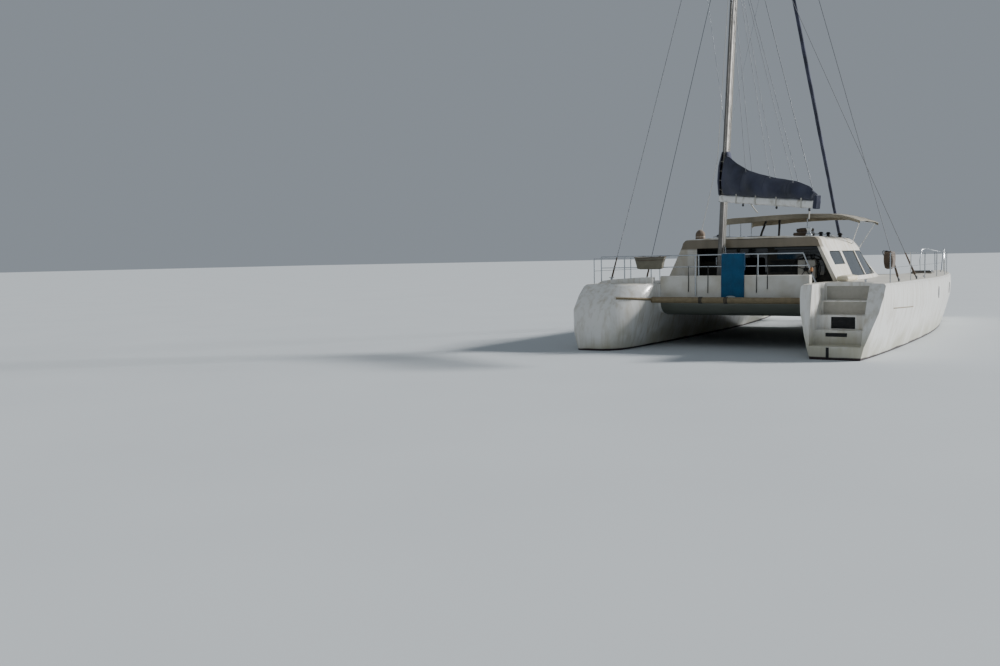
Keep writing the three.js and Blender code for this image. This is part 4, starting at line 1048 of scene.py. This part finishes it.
def deckCleats():
    # Two feet and a horn each, in metres from where the cleat stands: start, end and radius
    parts = [((0, y, -0.002), (0, y, 0.045), 0.012) for y in (-0.04, 0.04)]
    parts.append(((0, -0.12, 0.05), (0, 0.12, 0.05), 0.011))
    cleats = []
    for side, sign in sides.items():
        for x, y in ((2.95, -5.55), (3.32, -0.6), (2.95, 4.9)):
            foot = meets(side + "_hull", (sign * x, y, 3.0), (0, 0, -1))[0]
            cleats += [(foot + Vector(start), foot + Vector(end), radius, 10)
                       for start, end, radius in parts]
    fittings("deckCleats", cleats, "stainless")


def shroudBoots():
    # Leather boots over the feet of the shrouds
    boots = []
    for side, sign in sides.items():
        for kind, y in (("cap", -4.6), ("lower", -2.4)):
            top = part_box(side + "_" + kind + "_shroud")[1].z
            foot = Vector((sign * 3.44, y, 1.505))
            aim = (atMast(top) + Vector((sign * 0.08, 0, 0)) - foot).normalized()
            boots.append((foot + aim * 0.1, foot + aim * 0.68, 0.026, 12, 0.016))
    fittings("shroudBoots", boots, "brown_canvas", edge=0.004)


sternSteps()
strakes()
hullPortlights()
deckCleats()
shroudBoots()
print("hull fittings made")


# Cabin details
def windowPanels(side, sign):
    # White strips across the long side window, and the white lower part of its aft end
    bm = bmesh.new()
    for y0, y1, z1 in ((-2.62, -2.42, 9.0), (-0.95, -0.86, 9.0), (-3.9, -2.5, 1.86)):
        strip = copyOfNode(side + "_side_window")
        for point, normal in (((0, y0, 0), (0, -1, 0)), ((0, y1, 0), (0, 1, 0)), ((0, 0, z1), (0, 0, 1))):
            cut = bmesh.ops.bisect_plane(strip, geom=strip.verts[:] + strip.edges[:] + strip.faces[:],
                                         plane_co=point, plane_no=normal, clear_outer=True)
            edges = [item for item in cut["geom_cut"] if isinstance(item, bmesh.types.BMEdge)]
            if edges:
                bmesh.ops.edgeloop_fill(strip, edges=edges)
        bmesh.ops.translate(strip, vec=(sign * 0.0145, 0, 0.007), verts=strip.verts[:])
        mesh = asMesh("strip", strip)
        bm.from_mesh(mesh)
        bpy.data.meshes.remove(mesh)
    bmesh.ops.recalc_face_normals(bm, faces=bm.faces[:])
    finishPiece(side + "WindowPanels", bm, "roof", smooth=30.0)


def onRoof(x, y):
    return meets("coachroof", (x, y, 4.0), (0, 0, -1))[0]


def roofFittings():
    vents = []
    for x, y, size in ((1.4, -3.05, 0.07), (1.4, -2.35, 0.07), (1.35, -0.9, 0.08), (-1.3, -2.6, 0.08),
                       (-1.3, -0.6, 0.08), (1.3, 0.1, 0.06)):
        foot = onRoof(x, y)
        neck = foot + up(size * 0.9)
        vents += [(foot + up(-0.004), neck, size * 0.6, 20, size * 0.5),
                  (neck, neck + up(size * 0.6), size, 20, size * 0.45)]
    fittings("roofVents", vents, "blackPlastic", edge=0.008)
    rails = []
    for sign in sides.values():
        feet = [onRoof(sign * 1.18, y) for y in (-3.3, -2.2, -1.1, 0.0)]
        rails += [(foot + up(-0.003), foot + up(0.05), 0.011, 10) for foot in feet]
        rails += [(a + up(0.055), b + up(0.055), 0.012, 10) for a, b in zip(feet, feet[1:])]
    fittings("roofHandrails", rails, "stainless")
    hatches = [onRoof(x, y) for x, y in ((-0.45, -2.0), (0.45, -0.2), (-0.45, -0.2))]
    for name, half, low, high, material, edge in (
        ("roofHatchFrames", 0.27, -0.01, 0.022, "spar_alloy", 0.01),
        ("roofHatches", 0.23, 0.0, 0.036, "smoked_glass", 0.006),
    ):
        fittings(name, [(place + Vector((-half, -half, low)), place + Vector((half, half, high)))
                        for place in hatches], material, edge=edge)


# Brown canvas hood over the port winch, tied at its foot; above the shoulder, a share of its height, it
# rounds over, and the pleats gather at its foot
hoodShape = {"radius": 0.115, "tall": 0.235, "shoulder": 0.45, "pleats": 7, "pleatDepth": 0.06}


def winchHood():
    low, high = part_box("port_winch")
    shoulder = hoodShape["shoulder"]
    middle = (low + high) / 2

    def hood(u, v):
        angle = 2 * pi * u
        rounding = cos(pi / 2 * max(v - shoulder, 0) / (1 - shoulder)) ** 0.6
        radius = hoodShape["radius"] * rounding * (1 - v ** 40)
        radius *= 1 - hoodShape["pleatDepth"] * cos(angle * hoodShape["pleats"]) * (1 - v)
        return Vector((middle.x + radius * cos(angle), middle.y + radius * sin(angle),
                       low.z + 0.01 + hoodShape["tall"] * v))

    bm = shapedGrid(42, 20, hood)
    thickened(finishPiece("winchHood", bm, "brown_canvas", smooth=60.0), 0.004)
    tubes("winchHoodTie", [[hood(u / 32, 0.22) for u in range(33)]], 0.006, "whiteRope",
          smooth=True)


def cockpitDetails():
    # Compass and throttle on the helm console, amber lamp on the end of the stern rail
    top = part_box("helm_console")[1].z
    fittings("helmInstruments", [
        ((1.05, -3.43, top - 0.004), (1.05, -3.43, top + 0.035), 0.06, 24),
        ((1.24, -3.45, top - 0.004), (1.3, -3.36, top + 0.035)),
        ((1.27, -3.41, top + 0.03), (1.27, -3.46, top + 0.13), 0.012, 10),
    ], "blackPlastic", edge=0.006)
    lamp = [((1.79, -5.38, 1.745), (1.79, -5.38, 1.83), 0.034, 20, 0.03)]
    bevelled(fittings("railLamp", lamp, "amber"), 0.012, segments=3)
    base = [((1.79, -5.38, 1.70), (1.79, -5.38, 1.746), 0.022, 16)]
    fittings("railLampBase", base, "blackPlastic", edge=0.004)


def panesAndPaintedShade():
    # Dark smoked panes under the roof, partly dark windows and partly painted shadow under the roof's
    # overhang, a louvred locker front beside the door, and a dark pane as painted shade on the way to
    # the helm
    panes = [((x0, -3.312, z0), (x1, -3.296, z1)) for x0, x1, z0, z1 in (
        (-1.5, -0.58, 1.98, 2.28), (-0.5, 0.2, 2.17, 2.29),
        # The last pane, beside the helm, is painted shade
        (0.36, 1.5, 2.24, 2.3), (1.06, 1.56, 1.62, 1.98))]
    fittings("panesAndPaintedShade", panes, "smoked_glass", edge=0.006)
    louvres = [((0.26, -3.308, 1.7), (0.98, -3.296, 1.98))]
    for step in range(8):
        z = 1.715 + step * 0.033
        louvres.append(((0.28, -3.318, z), (0.96, -3.304, z + 0.016)))
    fittings("lockerLouvres", louvres, "greyRubber", edge=0.003)


def coamingDetails():
    # A post that runs on down the coaming to the beam, and rope ends that hang from the rail
    tubes("coamingPosts", [[(-0.86, -5.402, 2.13), (-0.86, -5.402, 1.2)]], 0.016, "stainless")
    ends = [[(x, -5.372, 1.9), (x + 0.01, -5.392, 1.66), (x, -5.392, low)]
            for x, low in ((-1.04, 1.3), (-0.566, 1.27), (0.575, 1.28), (0.82, 1.36))]
    tubes("ropeEnds", ends, 0.009, "greyRubber", smooth=True)


for side, sign in sides.items():
    windowPanels(side, sign)
panesAndPaintedShade()
coamingDetails()
roofFittings()
winchHood()
cockpitDetails()
print("cabin details made")


# Mast details: sail track, halyards and a runner, diamond stays, masthead gear and cleats
def mastDetails():
    aft = Vector((0, -0.123, 0))
    fittings("mastTrack", [(atMast(3.75) + aft, atMast(15.15) + aft, 0.012, 8)], "spar_alloy")
    halyards = [[atMast(z) + Vector((0.078, offset, 0)), atMast(14.9) + Vector((0.07, offset, 0))]
                for offset, z in ((-0.05, 1.9), (0.0, 1.8), (0.05, 2.0))]
    halyards.append([(-1.33, -3.86, 2.58), atMast(4.4) + Vector((-0.24, 0.1, 0)),
                     atMast(11.6) + Vector((-0.07, 0, 0))])
    tubes("halyards", halyards, 0.005, "whiteRope")
    diamonds = [[atMast(z) + Vector((sign * x, y, 0)) for x, y, z in (
        (0.076, 0.02, 5.2), (0.85, 0, 9.3), (0.34, 0, 12.1), (0.07, 0.02, 13.35))] for sign in (-1, 1)]
    tubes("diamondStays", diamonds, 0.0045, "stainless")
    top = atMast(mastLine["head"][2])
    gear = [(top + Vector((0, y, 0)), top + Vector((0, y, height)), radius, facets)
            for y, height, radius, facets in (
                (0.1, 0.42, 0.004, 8), (0.02, 0.1, 0.03, 16), (-0.1, 0.15, 0.006, 8))]
    fittings("mastheadGear", gear, "blackPlastic")
    cleats = []
    for x, z in ((0.076, 1.9), (0.076, 2.25), (-0.076, 2.0)):
        root = atMast(z) + Vector((x, 0, 0))
        stem = root + Vector((copysign(0.03, x), 0, 0))
        cleats += [(stem + up(-0.09), stem + up(0.09), 0.011, 10), (root, stem, 0.014, 10)]
    fittings("mastCleats", cleats, "stainless")


mastDetails()
print("mast details made")


# Floor at the waterline, soft studio light: where each light comes from, its strength and its spread
studio = {"floor": ("#c2c7c9", "#b9bec1"), "air": "#d3deea", "airStrength": 0.38}
lights = {"keyLight": ((0.78, 0.62, 0.46), 6.4, 8.0), "fillLight": ((-0.2, -0.8, 0.9), 0.12, 60.0)}


def floorAndLight():
    bm = bmesh.new()
    bmesh.ops.create_grid(bm, x_segments=1, y_segments=1, size=600)
    floor = inScene("paleFloor", asMesh("paleFloor", bm))
    material, add = newMaterial("paleFloor", Roughness=0.9)
    patch = add("TexNoise", {"Scale": 0.3})
    light, dark = studio["floor"]
    dress(material, add("Mix", [patch, light, dark]))
    floor.data.materials.append(material)

    world = bpy.data.worlds.new("paleAir")
    world.use_nodes = True
    bpy.context.scene.world = world
    background = world.node_tree.nodes["Background"].inputs
    background["Color"].default_value = linear(studio["air"])
    background["Strength"].default_value = studio["airStrength"]
    for name, (direction, strength, spread) in lights.items():
        light = bpy.data.lights.new(name, "SUN")
        light.energy = strength
        light.angle = radians(spread)
        inScene(name, light).rotation_euler = Vector(direction).to_track_quat("Z", "Y").to_euler()


floorAndLight()
print("floor and light made")
